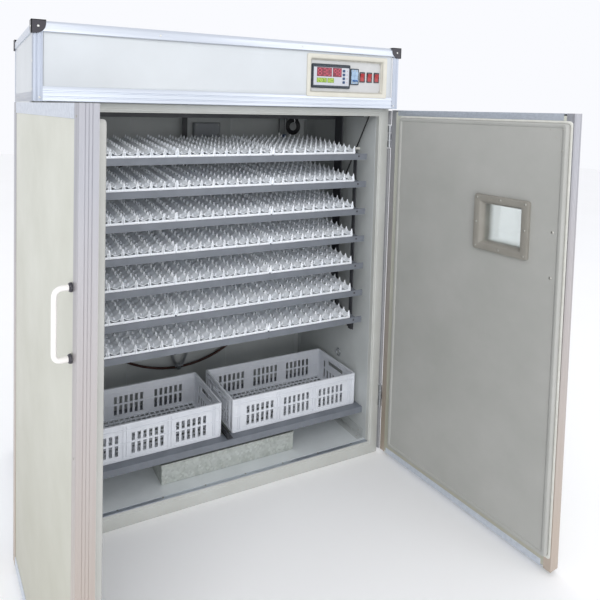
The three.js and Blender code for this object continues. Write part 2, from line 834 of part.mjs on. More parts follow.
function linkBar() {
  const bar = block(
    LINK_X,
    LINK_X + LINK_THICKNESS,
    linkY - LINK_WIDTH / 2,
    linkY + LINK_WIDTH / 2,
    SHAFT_Z - linkDrop - 14,
    RACK_TOP_LEVEL_Z - linkDrop + 14,
  );
  const heights = [SHAFT_Z];
  for (let level = 0; level < RACK_LEVELS; level += 1) {
    heights.push(RACK_TOP_LEVEL_Z - level * RACK_PITCH);
  }
  const holes = heights.map((z) => rodAlongX(
    LINK_PIN_RADIUS + PIN_CLEARANCE,
    LINK_X - 2,
    LINK_X + LINK_THICKNESS + 2,
    linkY,
    z - linkDrop,
  ));
  return cut(bar, ...holes);
}

addPiece('link_bar', linkBar(), slateSteel);

const crank = new THREE.Group();
crank.position.set(0, RACK_PIVOT_Y, SHAFT_Z);
crank.rotation.x = tilt;
incubator.add(crank);
addPiece(
  'turn_crank',
  join(
    block(
      CRANK_X,
      CRANK_X + CRANK_THICKNESS,
      -LINK_ARM - 12,
      14,
      -CRANK_HEIGHT / 2,
      CRANK_HEIGHT / 2,
    ),
    rodAlongX(LINK_PIN_RADIUS, LINK_X - 1, CRANK_X + 1, -LINK_ARM, 0),
    rodAlongX(SHAFT_RADIUS, CRANK_X + 1, UPRIGHT_X + UPRIGHT_THICKNESS, 0, 0),
  ),
  darkSteel,
  crank,
);

const motorX = UPRIGHT_X + UPRIGHT_THICKNESS + GAP;
const motorGlandTop = SHAFT_Z + MOTOR_RADIUS + 12;
const cableX = motorX + 18;
addPiece(
  'turn_motor',
  join(
    rodAlongX(MOTOR_RADIUS, motorX, motorX + MOTOR_DEPTH, RACK_PIVOT_Y, SHAFT_Z, 24),
    rodUpright(6, cableX, RACK_PIVOT_Y, SHAFT_Z + MOTOR_RADIUS - 6, motorGlandTop),
  ),
  zincSteel,
);

addPiece(
  'motor_cable',
  tube(
    roundedPath(
      [
        [cableX, -234, CEILING_BOTTOM - GAP],
        [cableX, -234, CEILING_BOTTOM - 26],
        [cableX, -20, 1000],
        [cableX, -20, 640],
        [cableX, RACK_PIVOT_Y, 600],
        [cableX, RACK_PIVOT_Y, motorGlandTop + GAP],
      ],
      12,
    ),
    MOTOR_CABLE_RADIUS,
    8,
    76,
  ),
  cableBlack,
);

// ---- heater, fan and fan bracket ----

const heaterSection = [];
for (let i = 0; i <= 8; i += 1) {
  const angle = (i / 8) * 2 * Math.PI;
  heaterSection.push(new THREE.Vector2(
    HEATER_RADIUS + HEATER_TUBE_RADIUS * Math.cos(angle),
    HEATER_TUBE_RADIUS * Math.sin(angle),
  ));
}
addPiece(
  'heater_ring',
  new THREE.LatheGeometry(heaterSection, 48).translate(0, HEATER_Y, HEATER_CENTRE_Z),
  heaterMetal,
);

addPiece(
  'fan_bracket',
  block(
    -BRACKET.halfWidth,
    BRACKET.halfWidth,
    BRACKET.y,
    BRACKET.y + BRACKET.thickness,
    FAN_CENTRE_Z - BRACKET.belowFan,
    CEILING_BOTTOM - GAP,
  ),
  zincSteel,
);
addPiece(
  'fan_motor',
  join(
    rodAlongY(FAN_MOTOR.radius, 0, FAN_MOTOR.front, BRACKET.y - GAP, FAN_CENTRE_Z, 24),
    rodAlongY(SHAFT_RADIUS, 0, FAN_MOTOR.shaftFront, FAN_MOTOR.front + 1, FAN_CENTRE_Z, 12),
  ),
  zincSteel,
);

function fanRotor() {
  const { radius, front, rear } = FAN_HUB;
  const { root, halfWidth, halfThickness } = FAN_BLADE;
  const pieces = [rodAlongY(radius, 0, front, rear, 0, 24)];
  for (let i = 0; i < FAN_BLADES; i += 1) {
    const blade = block(root, FAN_RADIUS, -halfThickness, halfThickness, -halfWidth, halfWidth);
    blade.rotateX(THREE.MathUtils.degToRad(FAN_BLADE_PITCH));
    blade.translate(0, (front + rear) / 2, 0);
    blade.rotateY((i / FAN_BLADES) * 2 * Math.PI);
    pieces.push(blade);
  }
  const bore = rodAlongY(SHAFT_RADIUS + 0.5, 0, FAN_MOTOR.shaftFront - 8, rear + 2, 0, 12);
  return cut(join(...pieces), bore);
}

const rotor = new THREE.Group();
rotor.position.set(0, 0, FAN_CENTRE_Z);
incubator.add(rotor);
addPiece('fan_rotor', fanRotor(), slateSteel, rotor);

// ---- basket shelf, hatching baskets and water pan ----

function basketShelf() {
  const low = SHELF_TOP - BAR_HEIGHT;
  const flangeBottom = SHELF_TOP - BAR_THICKNESS;
  const half = INNER_SIDE - GAP;
  const pieces = [
    block(-half, half, SHELF_FRONT_Y, SHELF_FRONT_Y + BAR_THICKNESS, low, SHELF_TOP),
    block(-half, half, SHELF_REAR_Y - BAR_THICKNESS, SHELF_REAR_Y, low, SHELF_TOP),
    block(-half, half, SHELF_FRONT_Y, SHELF_FRONT_Y + 40, flangeBottom, SHELF_TOP),
    block(-half, half, SHELF_REAR_Y - 25, SHELF_REAR_Y, flangeBottom, SHELF_TOP),
  ];
  const runners = [-half, half - 36];
  for (const centre of BASKET_CENTRES) {
    runners.push(centre - BASKET_LENGTH / 4 - 12);
    runners.push(centre + BASKET_LENGTH / 4 - 12);
  }
  for (const x of runners) {
    const width = Math.abs(x) > 590 ? 36 : 24;
    pieces.push(block(x, x + width, SHELF_FRONT_Y, SHELF_REAR_Y, flangeBottom, SHELF_TOP));
  }
  return join(...pieces);
}

addPiece('basket_shelf', basketShelf(), slateSteel);

// An open-topped basket with a hand slot in each end.
function hatchingBasket(centreX) {
  const bottom = SHELF_TOP + GAP;
  const top = bottom + BASKET_HEIGHT;
  const x0 = centreX - BASKET_LENGTH / 2;
  const x1 = centreX + BASKET_LENGTH / 2;
  const y0 = BASKET_CENTRE_Y - BASKET_DEPTH / 2;
  const y1 = BASKET_CENTRE_Y + BASKET_DEPTH / 2;
  return cut(
    block(x0, x1, y0, y1, bottom, top),
    block(
      x0 + BASKET_WALL,
      x1 - BASKET_WALL,
      y0 + BASKET_WALL,
      y1 - BASKET_WALL,
      bottom + BASKET_WALL,
      top + 1,
    ),
    block(x0 - 1, x1 + 1, BASKET_CENTRE_Y - 50, BASKET_CENTRE_Y + 50, top - 42, top - 18),
  );
}

addPiece('left_hatching_basket', hatchingBasket(BASKET_CENTRES[0]), basketPlastic);
addPiece('right_hatching_basket', hatchingBasket(BASKET_CENTRES[1]), basketPlastic);

const panBottom = FLOOR_TOP + GAP;
addPiece(
  'water_pan',
  cut(
    block(PAN.left, PAN.right, PAN.front, PAN.rear, panBottom, panBottom + PAN.height),
    block(
      PAN.left + PAN.wall,
      PAN.right - PAN.wall,
      PAN.front + PAN.wall,
      PAN.rear - PAN.wall,
      panBottom + PAN.wall,
      panBottom + PAN.height + 1,
    ),
  ),
  zincSteel,
);

// ---- sensors: one cable with its spare length coiled up, and one short lead ----

const coilSection = [];
for (let i = 0; i <= 10; i += 1) {
  const angle = (i / 10) * 2 * Math.PI;
  coilSection.push(new THREE.Vector2(
    COIL.radius + COIL.section * Math.cos(angle),
    COIL.section * Math.sin(angle),
  ));
}
addPiece(
  'sensor_cable_coil',
  new THREE.LatheGeometry(coilSection, 28).translate(COIL.x, COIL.y, COIL.z),
  cableBlack,
);

// The height over the coil's centre at which an upright cable, this far to one side, clears it.
function clearOfCoil(sideways) {
  const nearest = sideways - SENSOR_CABLE_RADIUS;
  return Math.sqrt((COIL.radius + COIL.section) ** 2 - nearest ** 2) + GAP;
}

addPiece(
  'sensor_cable_upper',
  tube(
    new THREE.LineCurve3(
      new THREE.Vector3(COIL.x + COIL_IN, COIL.y, CEILING_BOTTOM - GAP),
      new THREE.Vector3(COIL.x + COIL_IN, COIL.y, COIL.z + clearOfCoil(COIL_IN)),
    ),
    SENSOR_CABLE_RADIUS,
    8,
    12,
  ),
  cableBlack,
);

// Up off the coil's left side, over in a half circle, and down to the probe.
function sensorCableLower() {
  const start = COIL.z + clearOfCoil(COIL_OUT);
  const archX = COIL.x - COIL_OUT - ARCH_RADIUS;
  const archZ = start + 4;
  const route = [new THREE.Vector3(archX + ARCH_RADIUS, COIL.y, start)];
  for (let i = 0; i <= 12; i += 1) {
    const angle = (i / 12) * Math.PI;
    route.push(new THREE.Vector3(
      archX + ARCH_RADIUS * Math.cos(angle),
      COIL.y,
      archZ + ARCH_RADIUS * Math.sin(angle),
    ));
  }
  for (let i = 1; i <= 4; i += 1) {
    const z = archZ + (i / 4) * (PROBE.top + GAP - archZ);
    route.push(new THREE.Vector3(archX - ARCH_RADIUS, COIL.y, z));
  }
  return tube(new THREE.CatmullRomCurve3(route), SENSOR_CABLE_RADIUS, 8, 48);
}

addPiece('sensor_cable_lower', sensorCableLower(), cableBlack);

const probeX = COIL.x - COIL_OUT - 2 * ARCH_RADIUS;
addPiece(
  'temperature_probe',
  rodUpright(PROBE.radius, probeX, COIL.y, PROBE.top - PROBE.length, PROBE.top),
  whitePlate,
);

addPiece(
  'humidity_lead',
  tube(
    new THREE.LineCurve3(
      new THREE.Vector3(HUMIDITY.x, HUMIDITY.y, CEILING_BOTTOM - GAP),
      new THREE.Vector3(HUMIDITY.x, HUMIDITY.y, HUMIDITY.top + GAP),
    ),
    HUMIDITY_LEAD_RADIUS,
    8,
    24,
  ),
  cableBlack,
);
addPiece(
  'humidity_probe',
  centredBlock(
    HUMIDITY.x,
    HUMIDITY.top - HUMIDITY.height / 2,
    HUMIDITY.width,
    HUMIDITY.height,
    HUMIDITY.y - HUMIDITY.depth / 2,
    HUMIDITY.y + HUMIDITY.depth / 2,
  ),
  bluePlastic,
);

export default incubator;
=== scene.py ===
"""Cabinet egg incubator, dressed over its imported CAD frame.

Lengths are in millimetres until make_piece() puts them into a mesh, which is in metres.
x runs to the right as seen from the front, y into the cabinet, z up, from the centre of the base.
"""

import math

import bpy
import numpy as np
from mathutils import Matrix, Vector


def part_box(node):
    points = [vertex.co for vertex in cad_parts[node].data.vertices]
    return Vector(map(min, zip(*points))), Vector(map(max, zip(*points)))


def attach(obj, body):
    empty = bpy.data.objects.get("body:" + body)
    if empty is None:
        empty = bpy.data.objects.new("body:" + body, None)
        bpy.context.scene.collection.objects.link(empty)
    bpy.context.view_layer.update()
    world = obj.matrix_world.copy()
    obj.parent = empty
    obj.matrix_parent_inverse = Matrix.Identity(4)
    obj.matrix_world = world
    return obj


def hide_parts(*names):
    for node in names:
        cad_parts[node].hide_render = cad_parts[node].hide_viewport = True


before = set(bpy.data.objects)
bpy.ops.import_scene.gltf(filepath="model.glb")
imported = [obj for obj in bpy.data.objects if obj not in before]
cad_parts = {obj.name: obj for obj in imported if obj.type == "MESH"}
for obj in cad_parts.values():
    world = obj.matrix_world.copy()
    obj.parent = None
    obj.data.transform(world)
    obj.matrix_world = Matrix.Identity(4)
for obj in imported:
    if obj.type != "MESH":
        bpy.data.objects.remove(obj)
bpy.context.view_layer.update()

# ---- camera ----
# Standing left of the open doors at chest height, turned right, with a 33 mm lens.
YAW, PITCH, ROLL = (math.radians(a) for a in (24.05, 2.89, 1.16))
ahead = np.array([
    math.sin(YAW) * math.cos(PITCH),
    math.cos(YAW) * math.cos(PITCH),
    -math.sin(PITCH),
])
level = np.array([math.cos(YAW), -math.sin(YAW), 0.0])
above = np.cross(level, ahead)
across = math.cos(ROLL) * level + math.sin(ROLL) * above
upward = -math.sin(ROLL) * level + math.cos(ROLL) * above
camera_data = bpy.data.cameras.new("camera")
camera_data.lens, camera_data.sensor_width = 32.8, 36.0
camera_data.shift_x, camera_data.shift_y = 0.152, -0.275
camera = bpy.data.objects.new("camera", camera_data)
place = np.eye(4)
place[:3, :3] = np.stack([across, upward, -ahead], axis=1)
place[:3, 3] = (-0.8594, -1.9602, 1.3965)
camera.matrix_world = Matrix(place.tolist())
bpy.context.scene.collection.objects.link(camera)
bpy.context.scene.camera = camera

# ---- sensor cable and motor cable ----
# Black PVC-sheathed cables. The sensor cable comes out of the ceiling, its spare length hangs in
# a coil, and it arches over to the temperature probe. The motor cable is clipped to the right wall.
MM = 0.001


def linear(colour):
    """A hex sRGB colour as linear RGB and alpha 1: each channel c becomes c over 12.92 up to 0.04045,
    and ((c plus 0.055) over 1.055) to the power 2.4 above."""
    c = np.array([int(colour[i : i + 2], 16) for i in (1, 3, 5)]) / 255
    return (*np.where(c <= 0.04045, c / 12.92, ((c + 0.055) / 1.055) ** 2.4).tolist(), 1.0)


def add_node(material, kind, inputs=None, **settings):
    """A node of that kind, with its settings. An input is a value, or a socket to link from."""
    node = material.node_tree.nodes.new(kind)
    for name, value in settings.items():
        setattr(node, name, value)
    for name, value in (inputs or {}).items():
        if isinstance(value, bpy.types.NodeSocket):
            material.node_tree.links.new(value, node.inputs[name])
        else:
            node.inputs[name].default_value = value
    return node


def new_finish(name, tones, patch, roughness, grain, relief, stretch=(1, 1, 1), metallic=0.0,
               wear=0.25, **shader_values):
    """A finish in Object coordinates. Its colour runs through tones with a cloudy noise of about
    patch mm, its roughness runs between the two given with the same noise, and a finer noise of
    about grain mm raises a relief of that many mm. stretch draws both patterns out along an axis.
    wear is how much of the second tone shows."""
    material = bpy.data.materials.new(name)
    material.use_nodes = True
    nodes = material.node_tree.nodes
    shader = nodes["Principled BSDF"]
    where = add_node(material, "ShaderNodeTexCoord")
    drawn = add_node(
        material, "ShaderNodeMapping",
        {"Vector": where.outputs["Object"], "Scale": tuple(1 / s for s in stretch)},
    )
    clouds = add_node(
        material, "ShaderNodeTexNoise",
        {"Vector": drawn.outputs["Vector"], "Scale": 1000 / patch, "Detail": 4.0, "Roughness": 0.6},
    )
    spread = add_node(
        material, "ShaderNodeMapRange",
        {"Value": clouds.outputs["Fac"], "From Min": 0.5 - wear, "From Max": 1.12 - wear,
         "To Min": 0.0, "To Max": 1.0},
    )
    tint = add_node(
        material, "ShaderNodeMix",
        {"Factor": spread.outputs["Result"]}, data_type="RGBA",
    )
    tint.inputs[6].default_value = linear(tones[0])
    tint.inputs[7].default_value = linear(tones[1])
    sheen = add_node(
        material, "ShaderNodeMapRange",
        {"Value": clouds.outputs["Fac"], "From Min": 0.3, "From Max": 0.7,
         "To Min": roughness[0], "To Max": roughness[1]},
    )
    fine = add_node(
        material, "ShaderNodeTexNoise",
        {"Vector": drawn.outputs["Vector"], "Scale": 1000 / grain, "Detail": 2.0},
    )
    raised = add_node(
        material, "ShaderNodeBump",
        {"Height": fine.outputs["Fac"], "Strength": 1.0, "Distance": relief * MM},
    )
    links = material.node_tree.links
    links.new(tint.outputs[2], shader.inputs["Base Color"])
    links.new(sheen.outputs["Result"], shader.inputs["Roughness"])
    links.new(raised.outputs["Normal"], shader.inputs["Normal"])
    shader.inputs["Metallic"].default_value = metallic
    for key, value in shader_values.items():
        shader.inputs[key.replace("_", " ")].default_value = value
    return material


def enclosed(points, blocks):
    """Six times the volume inside the faces: the sum of the triple products of their triangles."""
    total = 0.0
    for block in blocks:
        for i in range(1, block.shape[1] - 1):
            normals = np.cross(points[block[:, i]], points[block[:, i + 1]])
            total += float((points[block[:, 0]] * normals).sum())
    return total


def skin(rings, closed=False):
    """A shape over rings, an array (ring, around, xyz): a quad between each two neighbours round
    and along. The last ring joins the first if closed, and otherwise both ends get flat caps."""
    rings = np.asarray(rings, float)
    grid = np.arange(rings.shape[0] * rings.shape[1]).reshape(rings.shape[:2])
    here, there = (grid, np.roll(grid, -1, 0)) if closed else (grid[:-1], grid[1:])
    quads = np.stack([here, np.roll(here, -1, 1), np.roll(there, -1, 1), there], -1)
    blocks = [quads.reshape(-1, 4)] + ([] if closed else [grid[:1, ::-1], grid[-1:]])
    points = rings.reshape(-1, 3)
    if enclosed(points - points.mean(0), blocks) < 0:
        blocks = [block[:, ::-1] for block in blocks]
    return points, blocks


def together(*shapes):
    """Several closed shapes as one, each one's face numbers raised by the points before it."""
    starts = np.cumsum([0] + [len(points) for points, _ in shapes])
    blocks = [block + start for (_, own), start in zip(shapes, starts) for block in own]
    return np.concatenate([points for points, _ in shapes]), blocks


def repeated(shape, places):
    """A copy of a shape at each of places, an array (copy, xyz)."""
    points, blocks = shape
    places = np.asarray(places, float)
    starts = np.arange(len(places))[:, None, None] * len(points)
    moved = (places[:, None] + points).reshape(-1, 3)
    return moved, [(block + starts).reshape(-1, block.shape[1]) for block in blocks]


def make_piece(name, body, shape, finish, replaces=(), sharp=40):
    """A finished piece: the shape as a mesh at the origin, smooth up to sharp degrees, with its
    finish, riding on its body and standing for the CAD nodes that it replaces."""
    points, blocks = shape
    mesh = bpy.data.meshes.new(name)
    faces = [face for block in blocks for face in block.tolist()]
    mesh.from_pydata((points * MM).tolist(), [], faces)
    mesh.shade_smooth()
    mesh.set_sharp_from_angle(angle=math.radians(sharp))
    mesh.materials.append(finish)
    piece = bpy.data.objects.new(name, mesh)
    bpy.context.scene.collection.objects.link(piece)
    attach(piece, body)
    if replaces:
        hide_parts(*replaces)
    return piece


def tube(route, radius, never_along, sides=12):
    """A round tube on a route: at each point a circle square to the route, set out from the cross
    product of the route's direction with a direction that it never runs along."""
    route = np.asarray(route, float)
    along = np.gradient(route, axis=0)
    along /= np.linalg.norm(along, axis=1)[:, None]
    first = np.cross(along, never_along)
    first /= np.linalg.norm(first, axis=1)[:, None]
    second = np.cross(along, first)
    turn = np.arange(sides) * 2 * math.pi / sides
    return skin(
        route[:, None]
        + radius * np.cos(turn)[None, :, None] * first[:, None]
        + radius * np.sin(turn)[None, :, None] * second[:, None]
    )


def bent_route(corners, radius, step=12.0):
    """Points along straight runs between corners. Each corner is a parabola that starts and ends
    radius mm from it: (1-t) squared, 2t(1-t) and t squared times its start, corner and end."""
    corners = np.asarray(corners, float)
    runs, start = [], corners[0]
    t = np.linspace(0, 1, 7)[:, None]
    for before, corner, after in zip(corners[:-2], corners[1:-1], corners[2:]):
        entry = corner + (before - corner) / np.linalg.norm(before - corner) * radius
        leave = corner + (after - corner) / np.linalg.norm(after - corner) * radius
        count = max(2, int(np.linalg.norm(entry - start) / step))
        runs.append(start + (entry - start) * np.linspace(0, 1, count)[:, None][:-1])
        runs.append(((1 - t) ** 2 * entry + 2 * t * (1 - t) * corner + t**2 * leave)[:-1])
        start = leave
    count = max(2, int(np.linalg.norm(corners[-1] - start) / step))
    runs.append(start + (corners[-1] - start) * np.linspace(0, 1, count)[:, None])
    return np.concatenate(runs)


# Satin black PVC: a little dust lightens it in patches.
cable_sheath = new_finish(
    "black_pvc_sheath", ("#141416", "#26262a"), 14, (0.38, 0.55), 1.2, 0.04, IOR=1.5
)

CEILING_Z = 1419.7
COIL_CENTRE = np.array([500.0, 150.0, 1318.0])
COIL_RADIUS, SENSOR_CABLE = 28.5, 5.0
# Where each turn lies in the coil's section: outwards and backwards of its middle.
turn_places = np.array([
    (-5, -4.33), (0, -4.33), (5, -4.33), (7.5, 0), (2.5, 0), (-2.5, 0), (-7.5, 0),
    (-5, 4.33), (0, 4.33), (5, 4.33),
])
TURNS = 9.5
wound = np.linspace(0, TURNS, int(TURNS * 24) + 1)
turn = np.minimum(wound.astype(int), len(turn_places) - 1)
shift = np.clip((wound - turn - 0.75) / 0.25, 0, 1)
shift = (shift**2 * (3 - 2 * shift))[:, None]
next_turn = np.minimum(turn + 1, len(turn_places) - 1)
section = turn_places[turn] * (1 - shift) + turn_places[next_turn] * shift
angle = -2 * math.pi * wound
coil_route = COIL_CENTRE + np.stack([
    (COIL_RADIUS + section[:, 0]) * np.cos(angle),
    section[:, 1],
    (COIL_RADIUS + section[:, 0]) * np.sin(angle),
], axis=1)
drop = np.linspace(0, 1, 13)[:-1, None]
entry = coil_route[0]
upper = np.array([entry[0], COIL_CENTRE[1], CEILING_Z]) * (1 - drop) + entry * drop
ease = np.clip((drop[:, 0] - 0.5) * 2, 0, 1)
upper[:, 1] = COIL_CENTRE[1] + (entry[1] - COIL_CENTRE[1]) * ease**2 * (3 - 2 * ease)
ARCH_RADIUS, ARCH_Z, PROBE_TOP = 20.0, 1345.13, 1290.3
leave = coil_route[-1]
rise = np.linspace(0, 1, 7)[1:-1]
rise_ease = rise**2 * (3 - 2 * rise)
climb = np.stack([
    np.full(5, leave[0]),
    leave[1] + (COIL_CENTRE[1] - leave[1]) * rise_ease,
    leave[2] + (ARCH_Z - leave[2]) * rise,
], axis=1)
half_turn = np.linspace(0, math.pi, 13)
arch = np.stack([
    leave[0] - ARCH_RADIUS + ARCH_RADIUS * np.cos(half_turn),
    np.full(13, COIL_CENTRE[1]),
    ARCH_Z + ARCH_RADIUS * np.sin(half_turn),
], axis=1)
fall = np.linspace(ARCH_Z, PROBE_TOP, 6)[1:]
down = np.stack([np.full(5, arch[-1, 0]), np.full(5, COIL_CENTRE[1]), fall], axis=1)
sensor_route = np.concatenate([upper, coil_route, climb, arch, down])
sensor_cable = make_piece(
    "sensor_cable", "cabinet",
    tube(sensor_route, SENSOR_CABLE / 2, (0, 1, 0)), cable_sheath,
    replaces=["sensor_cable_upper", "sensor_cable_coil", "sensor_cable_lower"],
)

HUMIDITY_LEAD = 3.2
lead_route = np.stack(
    [np.full(16, 446.0), np.full(16, 138.0), np.linspace(CEILING_Z, 1282.3, 16)], axis=1
)
humidity_lead = make_piece(
    "humidity_sensor_lead", "cabinet",
    tube(lead_route, HUMIDITY_LEAD / 2, (0, 1, 0), 10), cable_sheath, replaces=["humidity_lead"],
)

MOTOR_CABLE, MOTOR_CABLE_X = 6.0, 616.3
motor_route = bent_route([
    (MOTOR_CABLE_X, -234, CEILING_Z), (MOTOR_CABLE_X, -234, 1394), (MOTOR_CABLE_X, -20, 1000),
    (MOTOR_CABLE_X, -20, 640), (MOTOR_CABLE_X, -60, 600), (MOTOR_CABLE_X, -60, 568.3),
], 12)
motor_cable = make_piece(
    "turning_motor_cable", "cabinet",
    tube(motor_route, MOTOR_CABLE / 2, (1, 0, 0)), cable_sheath, replaces=["motor_cable"],
)

# ---- cabinet walls and roof ----
# Foam sandwich panels with pre-painted white steel skins, standing inside aluminium edge profiles.
SIDE, FRONT, REAR, WALL = 680.0, -305.0, 305.0, 46.0
INNER_SIDE, INNER_REAR = SIDE - WALL, REAR - WALL
PANEL_TOP = 1636.0


def prism(outline, low, high, axis):
    """A flat outline carried straight along an axis from low to high. The outline's two numbers
    are the other two coordinates in order: y, z along x; x, z along y; x, y along z."""
    outline = np.asarray(outline, float)
    rings = np.empty((2, len(outline), 3))
    rings[:, :, axis] = np.array([[low], [high]])
    rings[:, :, [i for i in range(3) if i != axis]] = outline
    return skin(rings)


def slab(low, high, radius=1.0, axis=2, steps=3):
    """A box with rounded edges. Its outline square to the axis has a quarter circle at each corner.
    Near each end the outline is drawn in by the radius times one minus the cosine, while it moves
    by the radius times one minus the sine, of an angle from a right angle down to nothing."""
    low, high = np.asarray(low, float), np.asarray(high, float)
    order = [(axis + 1) % 3, (axis + 2) % 3, axis]
    (x0, y0, z0), (x1, y1, z1) = low[order], high[order]
    radius = min(radius, 0.49 * min(x1 - x0, y1 - y0, z1 - z0))
    corner = np.linspace(0, math.pi / 2, steps + 1)
    turn = np.concatenate([corner + k * math.pi / 2 for k in range(4)])
    centre_x = np.repeat([x1 - radius, x0 + radius, x0 + radius, x1 - radius], steps + 1)
    centre_y = np.repeat([y1 - radius, y1 - radius, y0 + radius, y0 + radius], steps + 1)
    reach = radius * np.maximum(np.sin(corner), 0.06)
    height = radius * (1 - np.cos(corner))
    reach = np.concatenate([reach, reach[::-1]])
    height = np.concatenate([z0 + height, (z1 - height)[::-1]])
    rings = np.empty((len(reach), len(turn), 3))
    rings[:, :, order[0]] = centre_x + reach[:, None] * np.cos(turn)
    rings[:, :, order[1]] = centre_y + reach[:, None] * np.sin(turn)
    rings[:, :, order[2]] = height[:, None]
    return skin(rings)


# Pre-painted steel: a faint orange peel, drawn at 7 mm so that it shows, and dust in soft clouds.
white_steel = new_finish(
    "white_prepainted_steel", ("#cbd0d4", "#c2c6c9"), 260, (0.34, 0.46), 7, 0.03,
    IOR=1.5, Coat_Weight=0.15, Coat_Roughness=0.25,
)
# The same sheet as lining, greyer, with the dull bloom that steam leaves.
lining_steel = new_finish(
    "pale_grey_lining_steel", ("#b9bdbd", "#a8acab"), 190, (0.42, 0.6), 7, 0.03, IOR=1.5,
)

side_outline = [
    (-244.7, 0), (REAR, 0), (REAR, PANEL_TOP), (-264.7, PANEL_TOP), (-264.7, 1404), (-244.7, 1404),
]
for name, low, high in (("left_wall", -SIDE, -INNER_SIDE), ("right_wall", INNER_SIDE, SIDE)):
    make_piece(
        name + "_panel", "cabinet", prism(side_outline, low, high, 0),
        white_steel, replaces=[name],
    )
back_seams = np.array([-INNER_SIDE + 0.3, -212, 212, INNER_SIDE - 0.3])
make_piece(
    "rear_wall_panels", "cabinet",
    together(*[
        slab((low + 0.8, INNER_REAR, 0), (high - 0.8, REAR - 0.5, PANEL_TOP), 2)
        for low, high in zip(back_seams[:-1], back_seams[1:])
    ]),
    white_steel, replaces=["rear_wall"],
)
make_piece(
    "roof_panel_sheet", "cabinet",
    together(*[
        slab((low + 0.8, -264.7, 1594), (high - 0.8, INNER_REAR - 0.3, PANEL_TOP - 0.5), 2)
        for low, high in zip(back_seams[:-1], back_seams[1:])
    ]),
    white_steel, replaces=["roof_panel"],
)

# ---- inner lining ----
# Grey-cream sheets inside the walls, with a seam down the rear wall, a corner trim and a floor
# trim that are screwed on.
LINING_LOW, LINING_HIGH, LINING_REAR = 54.4, 1419.5, 258
lining = [
    slab((-633.9, -244, LINING_LOW), (-632.9, LINING_REAR, LINING_HIGH), 0.4),
    slab((632.9, -244, LINING_LOW), (633.9, LINING_REAR, LINING_HIGH), 0.4),
]
for low, high in ((-632.6, -232), (-230.5, 238), (239.5, 632.6)):
    lining.append(slab((low, LINING_REAR, LINING_LOW), (high, 258.9, LINING_HIGH), 0.4))
make_piece("wall_linings", "cabinet", together(*lining), lining_steel)

# The floor's sheet is much paler than the walls' lining. The extra paleness is painted light for the
# upward-facing floor, and faint tide marks show in soft patches.
floor_steel_painted_light = new_finish(
    "pale_floor_steel", ("#dde2e4", "#c9cfd1"), 150, (0.3, 0.48), 7, 0.04, IOR=1.5,
)
for node, finish in (("floor_panel", floor_steel_painted_light), ("ceiling_panel", lining_steel)):
    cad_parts[node].data.materials.clear()
    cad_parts[node].data.materials.append(finish)


def angle_bar(low, high, wall, inward):
    """An L-shaped outline of that wall thickness, as the corner of a box from low to high. inward
    has the sign of each leg's direction from the corner."""
    (x0, y0), (x1, y1) = low, high
    corner_x, far_x = (x0, x1) if inward[0] > 0 else (x1, x0)
    corner_y, far_y = (y0, y1) if inward[1] > 0 else (y1, y0)
    wx, wy = wall * inward[0], wall * inward[1]
    return [
        (corner_x, corner_y), (far_x, corner_y), (far_x, corner_y + wy),
        (corner_x + wx, corner_y + wy), (corner_x + wx, far_y), (corner_x, far_y),
    ]


trim = together(
    prism(angle_bar((608, 234), (632.7, 257.8), 1.2, (-1, -1)), 60, 1410, 2),
    prism(angle_bar((-632.7, 234), (-608, 257.8), 1.2, (1, -1)), 60, 1410, 2),
    prism([(-236, 55), (250, 55), (250, 86), (-236, 86)], 631.2, 632.7, 0),
    slab((600, -236, 54.2), (631.4, 250, 55.4), 0.5),
)
make_piece("corner_and_floor_trims", "cabinet", trim, lining_steel)


def dome(radius, height, normal, steps=3, around=12):
    """A round head lying on a face at the origin: rings of the radius times the cosine, at the
    height times the sine, of an angle from nothing to near a right angle. normal is (axis, sign)."""
    axis, sign = normal
    angle = np.linspace(0, 0.47 * math.pi, steps)
    reach = np.concatenate([[radius], radius * np.cos(angle)])
    lift = np.concatenate([[-0.6], height * np.sin(angle)]) * sign
    turn = np.arange(around) * 2 * math.pi / around
    rings = np.empty((len(reach), around, 3))
    rings[:, :, (axis + 1) % 3] = reach[:, None] * np.cos(turn)
    rings[:, :, (axis + 2) % 3] = reach[:, None] * np.sin(turn)
    rings[:, :, axis] = lift[:, None]
    return skin(rings)


# Zinc-plated steel screws, bright with a yellowish cast.
zinc_screw = new_finish(
    "zinc_plated_screw", ("#c3c2bb", "#8f8d86"), 3, (0.25, 0.4), 0.8, 0.02, metallic=1.0
)
trim_screws = together(
    repeated(dome(3.2, 1.4, (0, -1)), [(631.2, y, 70) for y in (-205, -90, 60, 200)]),
    repeated(dome(3.2, 1.4, (2, 1)), [(615, y, 55.4) for y in (-215, -60, 120)]),
    repeated(dome(2.6, 1.2, (1, -1)), [(620, 256.6, z) for z in range(150, 1400, 240)]),
)
make_piece("lining_screws", "cabinet", trim_screws, zinc_screw)

# ---- upper box front, rails, corner posts and caps ----
# A white panel between a grooved lower rail and a round-edged top rail of pale anodised aluminium,
# with angle posts at the corners, black moulded corner caps, and blind rivets.


def rectangle(x0, x1, z0, z1, radius, steps=3):
    """A rectangle's outline with a quarter circle at each corner."""
    radius = max(radius, 0.05)
    corner = np.linspace(0, math.pi / 2, steps + 1)
    turn = np.concatenate([corner + k * math.pi / 2 for k in range(4)])
    centre_x = np.repeat([x1 - radius, x0 + radius, x0 + radius, x1 - radius], steps + 1)
    centre_z = np.repeat([z1 - radius, z1 - radius, z0 + radius, z0 + radius], steps + 1)
    return np.stack([centre_x + radius * np.cos(turn), centre_z + radius * np.sin(turn)], 1)


